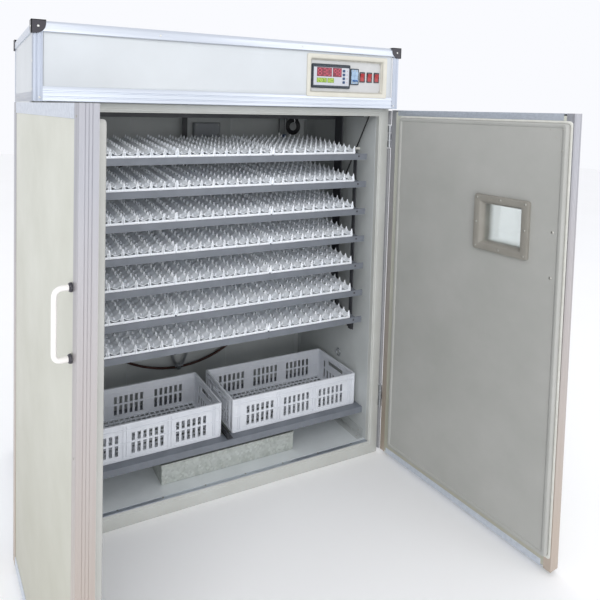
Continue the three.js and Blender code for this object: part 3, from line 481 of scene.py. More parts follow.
def frame_of(rings, axis=1, closed=True, steps=3):
    """A frame lofted over rectangles, each (x0, x1, z0, z1, corner radius, place on the axis). Closed
    it is a ring with a hole; open, its first and last rectangles get flat caps."""
    loft = np.empty((len(rings), 4 * (steps + 1), 3))
    for ring, (x0, x1, z0, z1, radius, depth) in zip(loft, rings):
        ring[:, [i for i in range(3) if i != axis]] = rectangle(x0, x1, z0, z1, radius, steps)
        ring[:, axis] = depth
    return skin(loft, closed)


def inset(box, profile):
    """Rectangles for frame_of: box (x0, x1, z0, z1) drawn in by each of the profile's (inset,
    corner radius, place on the axis)."""
    x0, x1, z0, z1 = box
    return [(x0 + i, x1 - i, z0 + i, z1 - i, r, d) for i, r, d in profile]


# Clear-anodised extrusion: drawn lines along it, at 2.5 mm so that they show, and a bluish grey.
def drawn_aluminium(name, tones, along, roughness=(0.3, 0.42)):
    """Anodised aluminium with its die lines along one axis."""
    stretch = [1.0, 1.0, 1.0]
    stretch[along] = 60.0
    return new_finish(
        name, tones, 9, roughness, 2.5, 0.05, stretch=stretch, metallic=0.85, wear=0.3
    )


rail_aluminium = drawn_aluminium("pale_anodised_aluminium_rail", ("#d9dfe8", "#c3c9d3"), 0)
post_aluminium = drawn_aluminium("blue_grey_anodised_aluminium_post", ("#b9c0cc", "#a2a9b6"), 2)
depth_aluminium = drawn_aluminium("anodised_aluminium_side_rail", ("#bcc0c8", "#a6aab2"), 1)

window_low, window_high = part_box("control_plate")
window = tuple(v / MM for v in (window_low[0], window_high[0], window_low[2], window_high[2]))
fascia = frame_of([
    (-652, 652, 1447, 1609, 1, -265.2), (-652, 652, 1447, 1609, 1, -302.2),
    (-651, 651, 1448, 1608, 1, -303), (*window, 2, -303), (*window, 2, -265.2),
])
make_piece(
    "control_fascia_panel", "cabinet", fascia, white_steel,
    replaces=["control_fascia"],
)
rail_profile = [
    (-266, 1404.5), (-303.5, 1404.5), (-306, 1406.5), (-306, 1415), (-304.2, 1416.5),
    (-304.2, 1419), (-306, 1420.5), (-306, 1431), (-304.2, 1432.5), (-304.2, 1435),
    (-306, 1436.5), (-306, 1445), (-304.5, 1448.5), (-266, 1448.5),
]
make_piece(
    "upper_box_lower_rail", "cabinet", prism(rail_profile, -653, 653, 0),
    rail_aluminium, sharp=25,
)
top_profile = [
    (5.2, 2, 1606), (1.2, 4, 1606), (0, 5, 1608), (0, 6, 1626), (1, 6, 1631), (4, 6, 1635.2),
    (8, 6, 1637.6), (13, 5, 1638.5), (36, 2, 1638.5), (37, 2, 1637.5), (37, 2, 1634), (5.2, 2, 1632),
]
make_piece(
    "upper_box_top_rim", "cabinet",
    frame_of(inset((-685, 685, -310, 308), top_profile), axis=2, steps=5),
    rail_aluminium, replaces=["top_rim"], sharp=30,
)


def ribbed_angle(side, face_y, into, width, return_width, low, high):
    """An upright angle profile round a corner of the cabinet, with two shallow grooves down its
    front leg. side is the sign of x, into the sign of y towards the cabinet's inside."""
    x, out = side * (SIDE + 1.4), face_y - into * 1.4
    inward = -side
    outline = [
        (x + inward * 1.5, out), (x + inward * width * 0.32, out),
        (x + inward * width * 0.35, out + into * 0.9), (x + inward * width * 0.42, out + into * 0.9),
        (x + inward * width * 0.45, out), (x + inward * width * 0.72, out),
        (x + inward * width * 0.75, out + into * 0.9), (x + inward * width * 0.82, out + into * 0.9),
        (x + inward * width * 0.85, out), (x + inward * width, out),
        (x + inward * width, out + into * 2), (x + inward * 2, out + into * 2),
        (x + inward * 2, out + into * return_width), (x, out + into * return_width),
        (x, out + into * 1.5),
    ]
    return prism(outline, low, high, 2)


make_piece(
    "upper_box_corner_posts", "cabinet",
    together(*[
        ribbed_angle(side, y, into, 28, 28, low, 1606)
        for side in (-1, 1) for y, into, low in ((FRONT, 1, 1405), (REAR, -1, 1405))
    ]),
    post_aluminium, sharp=25,
)
make_piece(
    "lower_corner_posts", "cabinet",
    together(*[
        ribbed_angle(side, REAR, -1, 28, 28, 0.5, 1404.5) for side in (-1, 1)
    ], *[
        slab(
            (min(side * 679.8, side * 681.6), -243, 42),
            (max(side * 679.8, side * 681.6), -214, 1404), 0.7,
        ) for side in (-1, 1)
    ]),
    post_aluminium, sharp=25,
)
side_rails = []
for side in (-1, 1):
    x0, x1 = sorted((side * 679.8, side * 681.6))
    for front, low, high in ((-243, 0.5, 42), (-276, 1405, 1433)):
        side_rails.append(slab((x0, front, low), (x1, 276, high), 0.7))
make_piece("side_rails", "cabinet", together(*side_rails), depth_aluminium)
RAIL_BACK = 304.2  # where the rails at the back start, inside the rear wall's face
back_rails = [
    slab((-652, RAIL_BACK, low), (652, 306.4, high), 0.9)
    for low, high in ((0.5, 42), (1391, 1419))
]
back_rails += [
    slab((x - 14, RAIL_BACK, low), (x + 14, 305.9, high), 0.8)
    for x in (-212, 212) for low, high in ((42.5, 1390.5), (1419.5, 1606))
]
make_piece("back_rails_and_seam_strips", "cabinet", together(*back_rails),
           rail_aluminium)

# Glossy black moulded corner caps with rounded lobes.
cap_plastic = new_finish(
    "black_moulded_corner_plastic", ("#2c2a31", "#3a3840"), 20, (0.25, 0.4), 1.5, 0.03, IOR=1.49
)


def lobed(x, y, size, lobe):
    """A square outline from the corner (x, y) towards size, its far corner cut by a quarter of
    the curve x to the 2.4 plus y to the 2.4 equals one."""
    t = np.linspace(0, math.pi / 2, 9)
    sx, sy = size
    bend = np.stack([
        x + sx * (1 - lobe + lobe * np.cos(t) ** (2 / 2.4)),
        y + sy * (1 - lobe + lobe * np.sin(t) ** (2 / 2.4)),
    ], 1)
    return np.concatenate([[(x, y), (x + sx, y)], bend, [(x, y + sy)]])


caps = []
for sx in (-1, 1):
    for sy in (-1, 1):
        x, y = sx * 687.0, -312.0 if sy < 0 else 310.0
        caps.append(prism(lobed(x, 1640, (-sx * 42, -40), 0.85), *sorted((y, y - sy * 2.4)), 1))
        caps.append(prism(lobed(y, 1640, (-sy * 42, -40), 0.85), *sorted((x, x - sx * 2.4)), 0))
        caps.append(prism(lobed(x, y, (-sx * 42, -sy * 42), 0.85), 1637.8, 1640, 2))
make_piece("corner_caps", "cabinet", together(*caps), cap_plastic)
# Polished white blind rivets.
rivet_metal = new_finish(
    "white_blind_rivet", ("#eeeeea", "#c9c9c4"), 3, (0.2, 0.35), 0.9, 0.02, metallic=0.4
)
front_rivets = [(x, -310, 1619) for x in (-296, 234)] + [(sx * 667, -312, 1621) for sx in (-1, 1)]
front_rivets += [(sx * 662, -306.4, 1416) for sx in (-1, 1)]
side_heights = [(-292, 1440), (-292, 1522), (-60, 1419), (160, 1419), (-60, 1620), (160, 1620),
                (-228, 90), (-228, 560), (-228, 1030), (-60, 21), (160, 21), (-294, 1621)]
rivets = [repeated(dome(3.6, 2.0, (1, -1)), front_rivets)]
for sx in (-1, 1):
    places = [(sx * (685 if z > 1606 else 681.5), y, z) for y, z in side_heights]
    places[-1] = (sx * 687, -294, 1621)
    rivets.append(repeated(dome(3.2, 1.8, (0, sx)), places))
back_places = [(x, 306.3, z) for x in (-500, -212, 0, 212, 500) for z in (21, 1405)]
back_places += [(x, 305.9, z) for x in (-212, 212) for z in (300, 700, 1100, 1520)]
back_places += [
    (sx * 666, 306.4, z) for sx in (-1, 1) for z in (60, 420, 780, 1140, 1360, 1450, 1570)
]
rivets.append(repeated(dome(3.2, 1.8, (1, 1)), back_places))
make_piece("blind_rivets", "cabinet", together(*rivets), rivet_metal)

# ---- door surround ----
# A pale grey coated pressed frame with the door seal's landing, screwed into the cabinet's mouth.
# Its fixed hinge leaves are zinc-plated steel.
surround_coat = new_finish(
    "pale_grey_coated_surround", ("#c4c6c3", "#b4b5af"), 170, (0.38, 0.52), 7, 0.03, IOR=1.5
)
surround_rings = [
    (-679.6, 679.6, 0.4, 1403.4, 1.5, -245.2), (-679.6, 679.6, 0.4, 1403.4, 1.5, -261.4),
    (-677.6, 677.6, 2.4, 1401.4, 1.5, -262.8), (-646, 646, 40, 1388, 1.5, -262.8),
    (-644, 644, 42, 1386, 1.5, -260.5), (-638, 638, 48, 1380, 1.5, -260.5),
    (-636, 636, 50, 1378, 1.5, -262.5), (-634, 634, 52, 1375, 1.5, -261.5),
    (-634, 634, 52, 1375, 1.5, -245.2),
]
make_piece(
    "door_surround_frame", "cabinet", frame_of(surround_rings), surround_coat,
    replaces=["door_surround"], sharp=30,
)
sill = slab((-633.7, -260, 52.1), (633.7, -236, 53.5), 0.5)
sill_screws = repeated(dome(3.4, 0.5, (2, 1)), [(x, -248, 53.5) for x in range(-560, 600, 160)])
make_piece("sill_strip", "cabinet", sill, rail_aluminium)
make_piece("sill_screws", "cabinet", sill_screws, zinc_screw)

PIN_SIDE, PIN_Y = 688.0, -263.0
HINGE_LOW, HINGE_LENGTH, KNUCKLE_RADIUS = (190.0, 1250.0), 90.0, 7.0
# Bright zinc, passivated, with a fine rolled grain.
hinge_zinc = new_finish(
    "zinc_plated_hinge", ("#b4b7ba", "#92959a"), 24, (0.28, 0.42), 1.6, 0.04, metallic=1.0
)


def turned(stations, centre, axis=2, around=20):
    """A turned shape round a line along an axis through centre: a circle at each (radius, place)."""
    stations = np.asarray(stations, float)
    turn = np.arange(around) * 2 * math.pi / around
    rings = np.empty((len(stations), around, 3))
    rings[:, :, (axis + 1) % 3] = centre[0] + stations[:, :1] * np.cos(turn)
    rings[:, :, (axis + 2) % 3] = centre[1] + stations[:, :1] * np.sin(turn)
    rings[:, :, axis] = stations[:, 1:]
    return skin(rings)


def knuckle(x, low, high):
    """A third of a hinge's barrel, with its ends chamfered by half a millimetre."""
    r = KNUCKLE_RADIUS
    return turned([(r - 0.8, low), (r, low + 0.8), (r, high - 0.8), (r - 0.8, high)], (x, PIN_Y))


fixed_leaves = []
for side in (-1, 1):
    for low in HINGE_LOW:
        third = HINGE_LENGTH / 3
        x0, x1 = sorted((side * 680.3, side * 684))
        fixed_leaves.append(slab((x0, -254.8, low), (x1, -206, low + HINGE_LENGTH), 1.2, axis=0))
        for z0 in (low, low + 2 * third):
            a, b = sorted((side * 681.2, side * 684))
            fixed_leaves.append(slab((a, PIN_Y, z0 + 0.4), (b, PIN_Y + 9, z0 + third - 0.8), 0.8))
            fixed_leaves.append(knuckle(side * PIN_SIDE, z0 + 0.1, z0 + third - 0.6))
        leaf_screws = [(side * 684, -222, low + s) for s in (15, 45, 75)]
        fixed_leaves.append(repeated(dome(4, 1.4, (0, side)), leaf_screws))
make_piece("fixed_hinge_leaves", "cabinet", together(*fixed_leaves), hinge_zinc)

# A grey rubber profile closes the gap on the hinges' own line, between and beyond the hinges.
gap_rubber = new_finish(
    "grey_rubber_profile", ("#96979a", "#838487"), 60, (0.5, 0.65), 2, 0.08, IOR=1.5
)
stretches = ((16, 188), (282, 1248), (1342, 1398))
gap_strips = together(*[
    turned([(4.6, a), (5.6, a + 1), (5.6, b - 1), (4.6, b)], (side * PIN_SIDE, PIN_Y))
    for side in (-1, 1) for a, b in stretches
], *[
    slab(
        (min(side * 680.2, side * 684), PIN_Y + 2, a),
        (max(side * 680.2, side * 684), PIN_Y + 14, b), 1,
    ) for side in (-1, 1) for a, b in stretches
])
make_piece("hinge_gap_profile", "cabinet", gap_strips, gap_rubber)

# ---- doors ----
# Foam-cored doors edged with anodised aluminium U-channel. Their cream faces are recessed, and
# on the inside a plug with a round-edged rim fits into the surround, with a pale silicone seal.
OPEN = {1: 95.0, -1: 85.0}
DOOR_SIDES = ((1, "right"), (-1, "left"))


def swing(shape, side):
    """A closed right-hand door's shape on its door at rest: mirrored for the left one, then turned
    about its hinge pin by the angle that its door stands open."""
    points, blocks = shape
    points = points * np.array([side, 1, 1])
    if side < 0:
        blocks = [block[:, ::-1] for block in blocks]
    a = math.radians(OPEN[side] * side)
    rel = points - (side * PIN_SIDE, PIN_Y, 0)
    x = rel[:, 0] * math.cos(a) - rel[:, 1] * math.sin(a) + side * PIN_SIDE
    y = rel[:, 0] * math.sin(a) + rel[:, 1] * math.cos(a) + PIN_Y
    return np.stack([x, y, points[:, 2]], 1), blocks


EDGE, HINGE_EDGE, DOOR_LOW, DOOR_HIGH = 1.5, 680.0, 15.0, 1400.0
# Coated face steel, cream, with soft dust clouds and a faint orange peel.
door_coat = new_finish(
    "cream_coated_door_steel", ("#c9cabf", "#bdbeb2"), 230, (0.36, 0.5), 7, 0.03, IOR=1.5,
    Coat_Weight=0.1, Coat_Roughness=0.3,
)
plug_coat = new_finish(
    "grey_cream_door_lining", ("#adada9", "#9fa09b"), 200, (0.4, 0.55), 7, 0.03, IOR=1.5
)
silicone = new_finish(
    "pale_silicone_seal", ("#dcdcd6", "#c6c6be"), 30, (0.5, 0.65), 2, 0.08, IOR=1.43
)
stile_aluminium_painted_reflection = drawn_aluminium("silver_anodised_door_stile_painted_reflection", ("#b6b7bd", "#a5a5ab"), 2)


def fade_to(material, colour, low, high, share):
    """Warms a finish downwards: mixes its colour towards another by share, from nothing at a
    height of high mm to all of the share at low mm, on Object coordinates."""
    shader = material.node_tree.nodes["Principled BSDF"]
    where = add_node(material, "ShaderNodeTexCoord")
    split = add_node(material, "ShaderNodeSeparateXYZ", {"Vector": where.outputs["Object"]})
    ramp = add_node(
        material, "ShaderNodeMapRange",
        {"Value": split.outputs["Z"], "From Min": high * MM, "From Max": low * MM,
         "To Min": 0.0, "To Max": share},
    )
    blended = add_node(
        material, "ShaderNodeMix", {"Factor": ramp.outputs["Result"]}, data_type="RGBA"
    )
    old = shader.inputs["Base Color"].links[0].from_socket
    material.node_tree.links.new(old, blended.inputs[6])
    blended.inputs[7].default_value = linear(colour)
    material.node_tree.links.new(blended.outputs[2], shader.inputs["Base Color"])


# Painted reflection: the stiles' aluminium turns warm beige towards the bottom, as if it reflected the
# ground below.
fade_to(stile_aluminium_painted_reflection, "#c4b29f", 150, 1250, 0.75)
# The cream door face is made darker and greyer towards the bottom.
fade_to(door_coat, "#a9a797", 100, 1150, 0.85)
STILE = [
    (1.5, -265), (1.5, -277), (2.3, -278), (1.5, -279), (1.5, -284), (2.3, -285), (1.5, -286),
    (1.5, -291), (2.3, -292), (1.5, -293), (1.5, -304), (2.5, -305), (30.5, -305), (31.5, -304),
    (31.5, -302.6), (4, -302.6), (4, -266.6), (23, -266.6), (23, -265),
]
stile_profile = np.array(STILE)
far_stile = stile_profile * (-1, 1) + (EDGE + HINGE_EDGE, 0)
rail_section = stile_profile - (EDGE, 0)
VIEW_BOX = (106.0, 290.0, 944.0, 1128.0)

for side, label in DOOR_SIDES:
    body = label + "_door"
    stiles = together(
        prism(stile_profile, DOOR_LOW, DOOR_HIGH, 2), prism(far_stile, DOOR_LOW, DOOR_HIGH, 2)
    )
    make_piece(body + "_stiles", body, swing(stiles, side), stile_aluminium_painted_reflection,
               replaces=[body], sharp=25)
    rail = rail_section[:, ::-1]
    rails = together(
        prism(rail + (0, DOOR_LOW), 31.6, 649.9, 0),
        prism(rail * (1, -1) + (0, DOOR_HIGH), 31.6, 649.9, 0),
    )
    make_piece(body + "_rails", body, swing(rails, side), rail_aluminium, sharp=25)
    hole = inset(VIEW_BOX, [(26.8, 2, -303.2), (26.8, 2, -265.4)])
    outer = [(8, 673, 22, 1393, 1, -265.4), (8, 673, 22, 1393, 1, -303.2)]
    plug_box = (11.5, 629.0, 60.0, 1370.0)
    plug = inset(plug_box, [
        (0, 9, -265.2), (0, 9, -252), (0.8, 9, -249.2), (3, 8, -247.3), (6.5, 7, -247),
        (10, 5, -247.6), (12.5, 4, -249.4), (13.5, 3, -250.6),
    ])
    if side > 0:
        face = frame_of(outer + hole)
        back = inset(VIEW_BOX, [(26.8, 2, -250.6), (26.8, 2, -265.2)])
        plug_shape = frame_of(plug + back, steps=5)
    else:
        face = frame_of(outer, closed=False)
        plug_shape = frame_of(plug, closed=False, steps=5)
    make_piece(body + "_face_panel", body, swing(face, side), door_coat)
    make_piece(body + "_inner_plug", body, swing(plug_shape, side), plug_coat,
               sharp=30)
    seal = frame_of(inset(plug_box, [
        (-7, 10, -265), (-7.5, 10, -264.2), (-6.5, 10, -263.4), (-1.5, 9, -263.4), (-0.5, 9, -264.2),
        (-0.5, 9, -265),
    ]), steps=5)
    make_piece(body + "_seal", body, swing(seal, side), silicone)
    seal_dots = [(22, -247.4, z) for z in (1352, 1290)] + [(60, -250.6, 1352), (42, -250.6, 1330)]
    door_screws = [
        repeated(dome(2.2, 0.9, (1, 1)), seal_dots),
        repeated(dome(4.6, 1.8, (1, 1)), [(39.5, -250.6, z) for z in (1046, 908)]),
        repeated(dome(2.6, 1.1, (1, -1)), [(x, -305, z) for x in (16.5, 665) for z in (40, 720, 1375)]),
    ]
    make_piece(body + "_screws", body, swing(together(*door_screws), side),
               zinc_screw)

    # The moving hinge leaves and their middle knuckles, screwed to the stile's edge.
    leaves = []
    for low in HINGE_LOW:
        third = HINGE_LENGTH / 3
        leaves.append(slab((680.2, -298.6, low), (684, -272.4, low + HINGE_LENGTH), 1.2, axis=0))
        leaves.append(knuckle(PIN_SIDE, low + third + 0.6, low + 2 * third - 1.1))
        leaves.append(prism([(681, -277.2), (683.8, -280.8), (688.8, -268.2), (684.2, -264.2)],
                            low + third + 1, low + 2 * third - 1.5, 2))
        leaf_screws = [(684, -284, low + s) for s in (12, 78)]
        leaves.append(repeated(dome(4, 1.4, (0, 1)), leaf_screws))
    make_piece(body + "_hinge_leaves", body, swing(together(*leaves), side),
               hinge_zinc)

# ---- door handles ----
# White powder-coated D handles on dark moulded feet.
handle_coat = new_finish(
    "white_powder_coated_handle", ("#edebe8", "#dedbd6"), 26, (0.3, 0.42), 1.6, 0.05, IOR=1.5,
    Coat_Weight=0.3, Coat_Roughness=0.2,
)
HANDLE_X, HANDLE_LOW, HANDLE_HIGH = 39.5, 899.0, 1055.0
for side, label in DOOR_SIDES:
    grip = bent_route([
        (HANDLE_X, -307, HANDLE_LOW + 8), (HANDLE_X, -338.6, HANDLE_LOW + 8),
        (HANDLE_X, -338.6, HANDLE_HIGH - 8), (HANDLE_X, -307, HANDLE_HIGH - 8),
    ], 16, 8)
    make_piece(
        label + "_door_handle_grip", label + "_door",
        swing(tube(grip, 5.8, (1, 0, 0), 16), side), handle_coat,
        replaces=[label + "_door_handle"],
    )
    feet = [
        turned([(9.5, -305), (9.5, -308), (8.4, -310.6), (7, -311.4)], (z, HANDLE_X), 1)
        for z in (HANDLE_LOW + 8, HANDLE_HIGH - 8)
    ]
    make_piece(label + "_door_handle_feet", label + "_door",
               swing(together(*feet), side), cap_plastic)

# ---- window in the right door ----
# Beige moulded frames inside and out, screwed together through the door, hold two glass panes.
beige_moulding = new_finish(
    "beige_grey_moulded_frame", ("#8f8c84", "#827f77"), 60, (0.4, 0.55), 2.4, 0.05, IOR=1.5
)
outer_frame = frame_of(inset(VIEW_BOX, [
    (0, 8, -303), (0, 8, -308.4), (1.2, 8, -310.4), (3, 7, -311), (22, 5, -311), (24, 4, -310),
    (30.5, 3, -302.5), (30.5, 2, -296.6), (27, 2, -296.6), (27, 2, -303),
]), steps=4)
inner_frame = frame_of(inset(VIEW_BOX, [
    (0, 8, -250.4), (0, 8, -242), (1.2, 8, -239.6), (3, 7, -239), (20, 5, -239), (22, 4, -240),
    (29.5, 3, -252), (30.5, 2, -256), (30.5, 2, -296.2), (27, 2, -296.2), (27, 2, -250.4),
]), steps=4)
make_piece(
    "right_door_window_frames", "right_door",
    swing(together(outer_frame, inner_frame), 1), beige_moulding,
    replaces=["right_window_frame"], sharp=30,
)
x0, x1, z0, z1 = VIEW_BOX
corner_x, corner_z = (x0 + 11, (x0 + x1) / 2, x1 - 11), (z0 + 11, (z0 + z1) / 2, z1 - 11)
frame_places = [(x, z) for x in corner_x for z in corner_z if (x, z) != (corner_x[1], corner_z[1])]
frame_screws = together(
    repeated(dome(3.6, 1.6, (1, 1)), [(x, -239.2, z) for x, z in frame_places]),
    repeated(dome(3.6, 1.6, (1, -1)), [(x, -310.8, z) for x, z in frame_places]),
)
make_piece("right_door_window_screws", "right_door", swing(frame_screws, 1), zinc_screw)
# Clear float glass; a faint uneven haze stands for fingermarks and steam.
window_glass = new_finish(
    "clear_float_glass", ("#eef4f2", "#e2eae8"), 90, (0.02, 0.09), 30, 0.01,
    Transmission_Weight=1.0, IOR=1.45, Alpha=0.55,
)
panes = together(*[
    slab((x0 + 28, y, z0 + 28), (x1 - 28, y + 4, z1 - 28), 0.6) for y in (-301.2, -262)
])
make_piece("right_door_window_panes", "right_door", swing(panes, 1), window_glass,
           replaces=["right_window_glass"])

# ---- control window ----
# A cream moulded frame round a white instrument plate that is set back in the upper box's front.
PLATE_FRONT = -293.0
WINDOW = (278.0, 606.0, 1462.0, 1580.0)
cream_moulding = new_finish(
    "cream_moulded_frame", ("#d3d1c6", "#c6c3b7"), 70, (0.35, 0.5), 2.4, 0.05, IOR=1.5
)
window_frame = frame_of(inset(WINDOW, [
    (-18, 5, -303), (-18, 5, -306.6), (-16.5, 5, -308), (-5, 4, -308), (-3, 3.5, -306.8),
    (1, 3, -301), (3, 2, -293.4), (0.4, 2, -293.4), (0.4, 2, -303),
]), steps=4)
make_piece("control_window_moulding", "cabinet", window_frame, cream_moulding,
           replaces=["control_window_frame"], sharp=30)
instrument_white = new_finish(
    "white_coated_instrument_plate", ("#c8c9c9", "#bdbebe"), 80, (0.36, 0.5), 4, 0.03, IOR=1.5
)

CONTROLLER_BOX = (286.0, 456.0, 1476.0, 1564.0)
BREAKER_BOX = (459.0, 497.0, 1492.0, 1552.0)
ROCKER_CENTRES, ROCKER_Z, ROCKER_PIVOT_Y = (516.0, 550.0, 584.0), 1522.0, -292.0
plate = slab((WINDOW[0] + 1, PLATE_FRONT, WINDOW[2] + 1), (WINDOW[1] - 1, -286, WINDOW[3] - 1), 0.6)
make_piece("instrument_plate", "cabinet", plate, instrument_white,
           replaces=["control_plate"])
plate_screws = repeated(
    dome(2.6, 1.1, (1, -1)),
    [(x, PLATE_FRONT, z) for x in (285, 599) for z in (1469, 1573)],
)
make_piece("instrument_plate_screws", "cabinet", plate_screws, zinc_screw)
bezels = together(*[
    frame_of([
        (x - 12.4, x + 12.4, ROCKER_Z - 19.4, ROCKER_Z + 19.4, 2, -292.9),
        (x - 12.4, x + 12.4, ROCKER_Z - 19.4, ROCKER_Z + 19.4, 2, -295),
        (x - 11.6, x + 11.6, ROCKER_Z - 18.6, ROCKER_Z + 18.6, 2, -295.6),
        (x - 9.6, x + 9.6, ROCKER_Z - 15.6, ROCKER_Z + 15.6, 1.5, -295.6),
        (x - 9.2, x + 9.2, ROCKER_Z - 15.2, ROCKER_Z + 15.2, 1.5, -292.9),
    ]) for x in ROCKER_CENTRES
])
make_piece("rocker_switch_bezels", "cabinet", bezels, cap_plastic)

# ---- rocker switches ----
# Glossy red moulded rockers with a hollow at each end, each turning on its pivot.
rocker_red = new_finish(
    "glossy_red_rocker", ("#a8181a", "#8f1215"), 14, (0.18, 0.3), 1.2, 0.02, IOR=1.5,
    Coat_Weight=0.4, Coat_Roughness=0.1,
)
ROCKER_REST = math.radians(8)


def tilted(shape, pivot, angle):
    """A shape turned about a line along x through pivot (y, z)."""
    points, blocks = shape
    y, z = points[:, 1] - pivot[0], points[:, 2] - pivot[1]
    turned_y = y * math.cos(angle) - z * math.sin(angle) + pivot[0]
    turned_z = y * math.sin(angle) + z * math.cos(angle) + pivot[1]
    return np.stack([points[:, 0], turned_y, turned_z], 1), blocks


rise = np.linspace(-1, 1, 15)
for number, x in enumerate(ROCKER_CENTRES, 1):
    face = -3.2 - 1.9 * np.abs(rise) ** 1.5
    outline = [(y + ROCKER_PIVOT_Y, ROCKER_Z + 14.6 * t) for t, y in zip(rise, face)]
    outline += [(ROCKER_PIVOT_Y + 2, ROCKER_Z + 13), (ROCKER_PIVOT_Y + 2, ROCKER_Z - 13)]
    rocker = tilted(prism(outline, x - 8.6, x + 8.6, 0), (ROCKER_PIVOT_Y, ROCKER_Z), ROCKER_REST)
    make_piece(f"red_rocker_{number}", f"rocker_{number}", rocker, rocker_red,
               replaces=[f"rocker_switch_{number}"], sharp=50)

# ---- controller ----
# A digital controller in a black snap-in bezel: grey front film with dark bands, red and green
# tinted display windows with light-emitting digits, four blue membrane keys and red lamps.
controller_black = new_finish(
    "black_controller_bezel", ("#26303c", "#1e2630"), 30, (0.3, 0.42), 1.6, 0.04, IOR=1.5
)
controller_film = new_finish(
    "grey_printed_front_film", ("#c3c6cd", "#b7bac2"), 50, (0.28, 0.4), 2, 0.02, IOR=1.5
)
display_red = new_finish(
    "tinted_red_display_window", ("#7e2c3e", "#6d2434"), 20, (0.15, 0.25), 3, 0.01, IOR=1.5
)
display_green = new_finish(
    "tinted_green_display_window", ("#7f9c33", "#6f8a2b"), 20, (0.15, 0.25), 3, 0.01, IOR=1.5
)
bezel = frame_of(inset(CONTROLLER_BOX, [
    (0, 4, -293.2), (0, 4, -298.6), (1, 4, -300.2), (3, 3.5, -301), (5, 3, -301), (6.4, 2.5, -299.6),
    (6.4, 2.5, -293.2),
]), steps=4)
make_piece("controller_bezel", "cabinet", bezel, controller_black,
           replaces=["controller"], sharp=30)
film = slab((292, -299.8, 1482), (450, -293.2, 1558), 0.5, axis=1)
make_piece("controller_front_film", "cabinet", film, controller_film)
bands = together(
    slab((292.5, -300.1, 1552), (449.5, -299.4, 1557.5), 0.3, axis=1),
    slab((292.5, -300.1, 1482.5), (449.5, -299.4, 1486), 0.3, axis=1),
)
make_piece("controller_film_bands", "cabinet", bands, controller_black)
DISPLAYS = (
    (306, 372, 1518, 1551), (376, 416, 1518, 1551), (306, 350, 1496, 1513), (353, 382, 1496, 1513),
)
for name, finish, row in (("red", display_red, DISPLAYS[:2]), ("green", display_green, DISPLAYS[2:])):
    windows = [slab((a, -300.3, c), (b, -299, d), 0.4, axis=1) for a, b, c, d in row]
    make_piece(name + "_display_windows", "cabinet", together(*windows), finish)


def bars_of_digit(x, z, width, height, stroke, lit):
    """A seven-bar digit's lit bars, each a thin six-sided bar, from its lower left corner."""
    middle, reach = z + height / 2, width / 2 - stroke * 0.6
    upright = height / 4 - stroke * 0.3
    across = [(x + width / 2, z + height), (x + width / 2, middle), (x + width / 2, z)]
    beside = [(x, z + height * 0.75), (x + width, z + height * 0.75), (x, z + height * 0.25),
              (x + width, z + height * 0.25)]
    shapes, half = [], stroke / 2
    for index, (cx, cz) in enumerate(across + beside):
        if index not in lit:
            continue
        if index < 3:
            outline = [(-reach, 0), (-reach + half, half), (reach - half, half), (reach, 0),
                       (reach - half, -half), (-reach + half, -half)]
        else:
            outline = [(0, -upright), (half, -upright + half), (half, upright - half), (0, upright),
                       (-half, upright - half), (-half, -upright + half)]
        shapes.append(prism(np.array(outline) + (cx, cz), -300.7, -300.2, 1))
    return shapes


# Faintly lit bars behind a diffusing film.
ALL_BARS = (0, 1, 2, 3, 4, 5, 6)
for name, tone, digits in (
    ("red", "#b8485a", [
        (311, 1523, 15, 23, 3.2, ALL_BARS), (332, 1523, 15, 23, 3.2, (0, 1, 2, 4, 6)),
        (353, 1523, 14, 23, 3.2, (0, 2, 3, 4, 5, 6)), (381, 1523, 12, 23, 3, (0, 1, 3, 4, 6)),
        (399, 1523, 12, 23, 3, ALL_BARS),
    ]),
    ("green", "#b4cf5e", [
        (310, 1499, 8, 11, 2, (0, 1, 3, 4, 5, 2)), (322, 1499, 8, 11, 2, ALL_BARS),
        (334, 1499, 8, 11, 2, (4, 6, 0)), (357, 1499, 8, 11, 2, ALL_BARS),
        (369, 1499, 8, 11, 2, (0, 2, 3, 4, 5, 6)),
    ]),
):
    glow = new_finish(
        name + "_light_emitting_digits", (tone, tone), 8, (0.3, 0.4), 2, 0.0,
        Emission_Color=linear(tone), Emission_Strength=0.12,
    )
    shapes = [shape for digit in digits for shape in bars_of_digit(*digit)]
    make_piece(name + "_digits", "cabinet", together(*shapes), glow)

key_blue = new_finish(
    "dark_blue_membrane_key", ("#2c4a74", "#223c60"), 10, (0.3, 0.42), 1, 0.02, IOR=1.5
)
for number in range(1, 5):
    low, high = (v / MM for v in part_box(f"controller_button_{number}"))
    key = slab((low[0], low[1] + 0.05, low[2]), (high[0], high[1], high[2]), 1.6, axis=1)
    make_piece(f"controller_key_{number}", f"button_{number}", key, key_blue,
               replaces=[f"controller_button_{number}"])
lamps = repeated(dome(1.5, 0.7, (1, -1)), [(441, -299.8, z) for z in (1541, 1527, 1513, 1499)])
make_piece("controller_lamps", "cabinet", lamps, rocker_red)

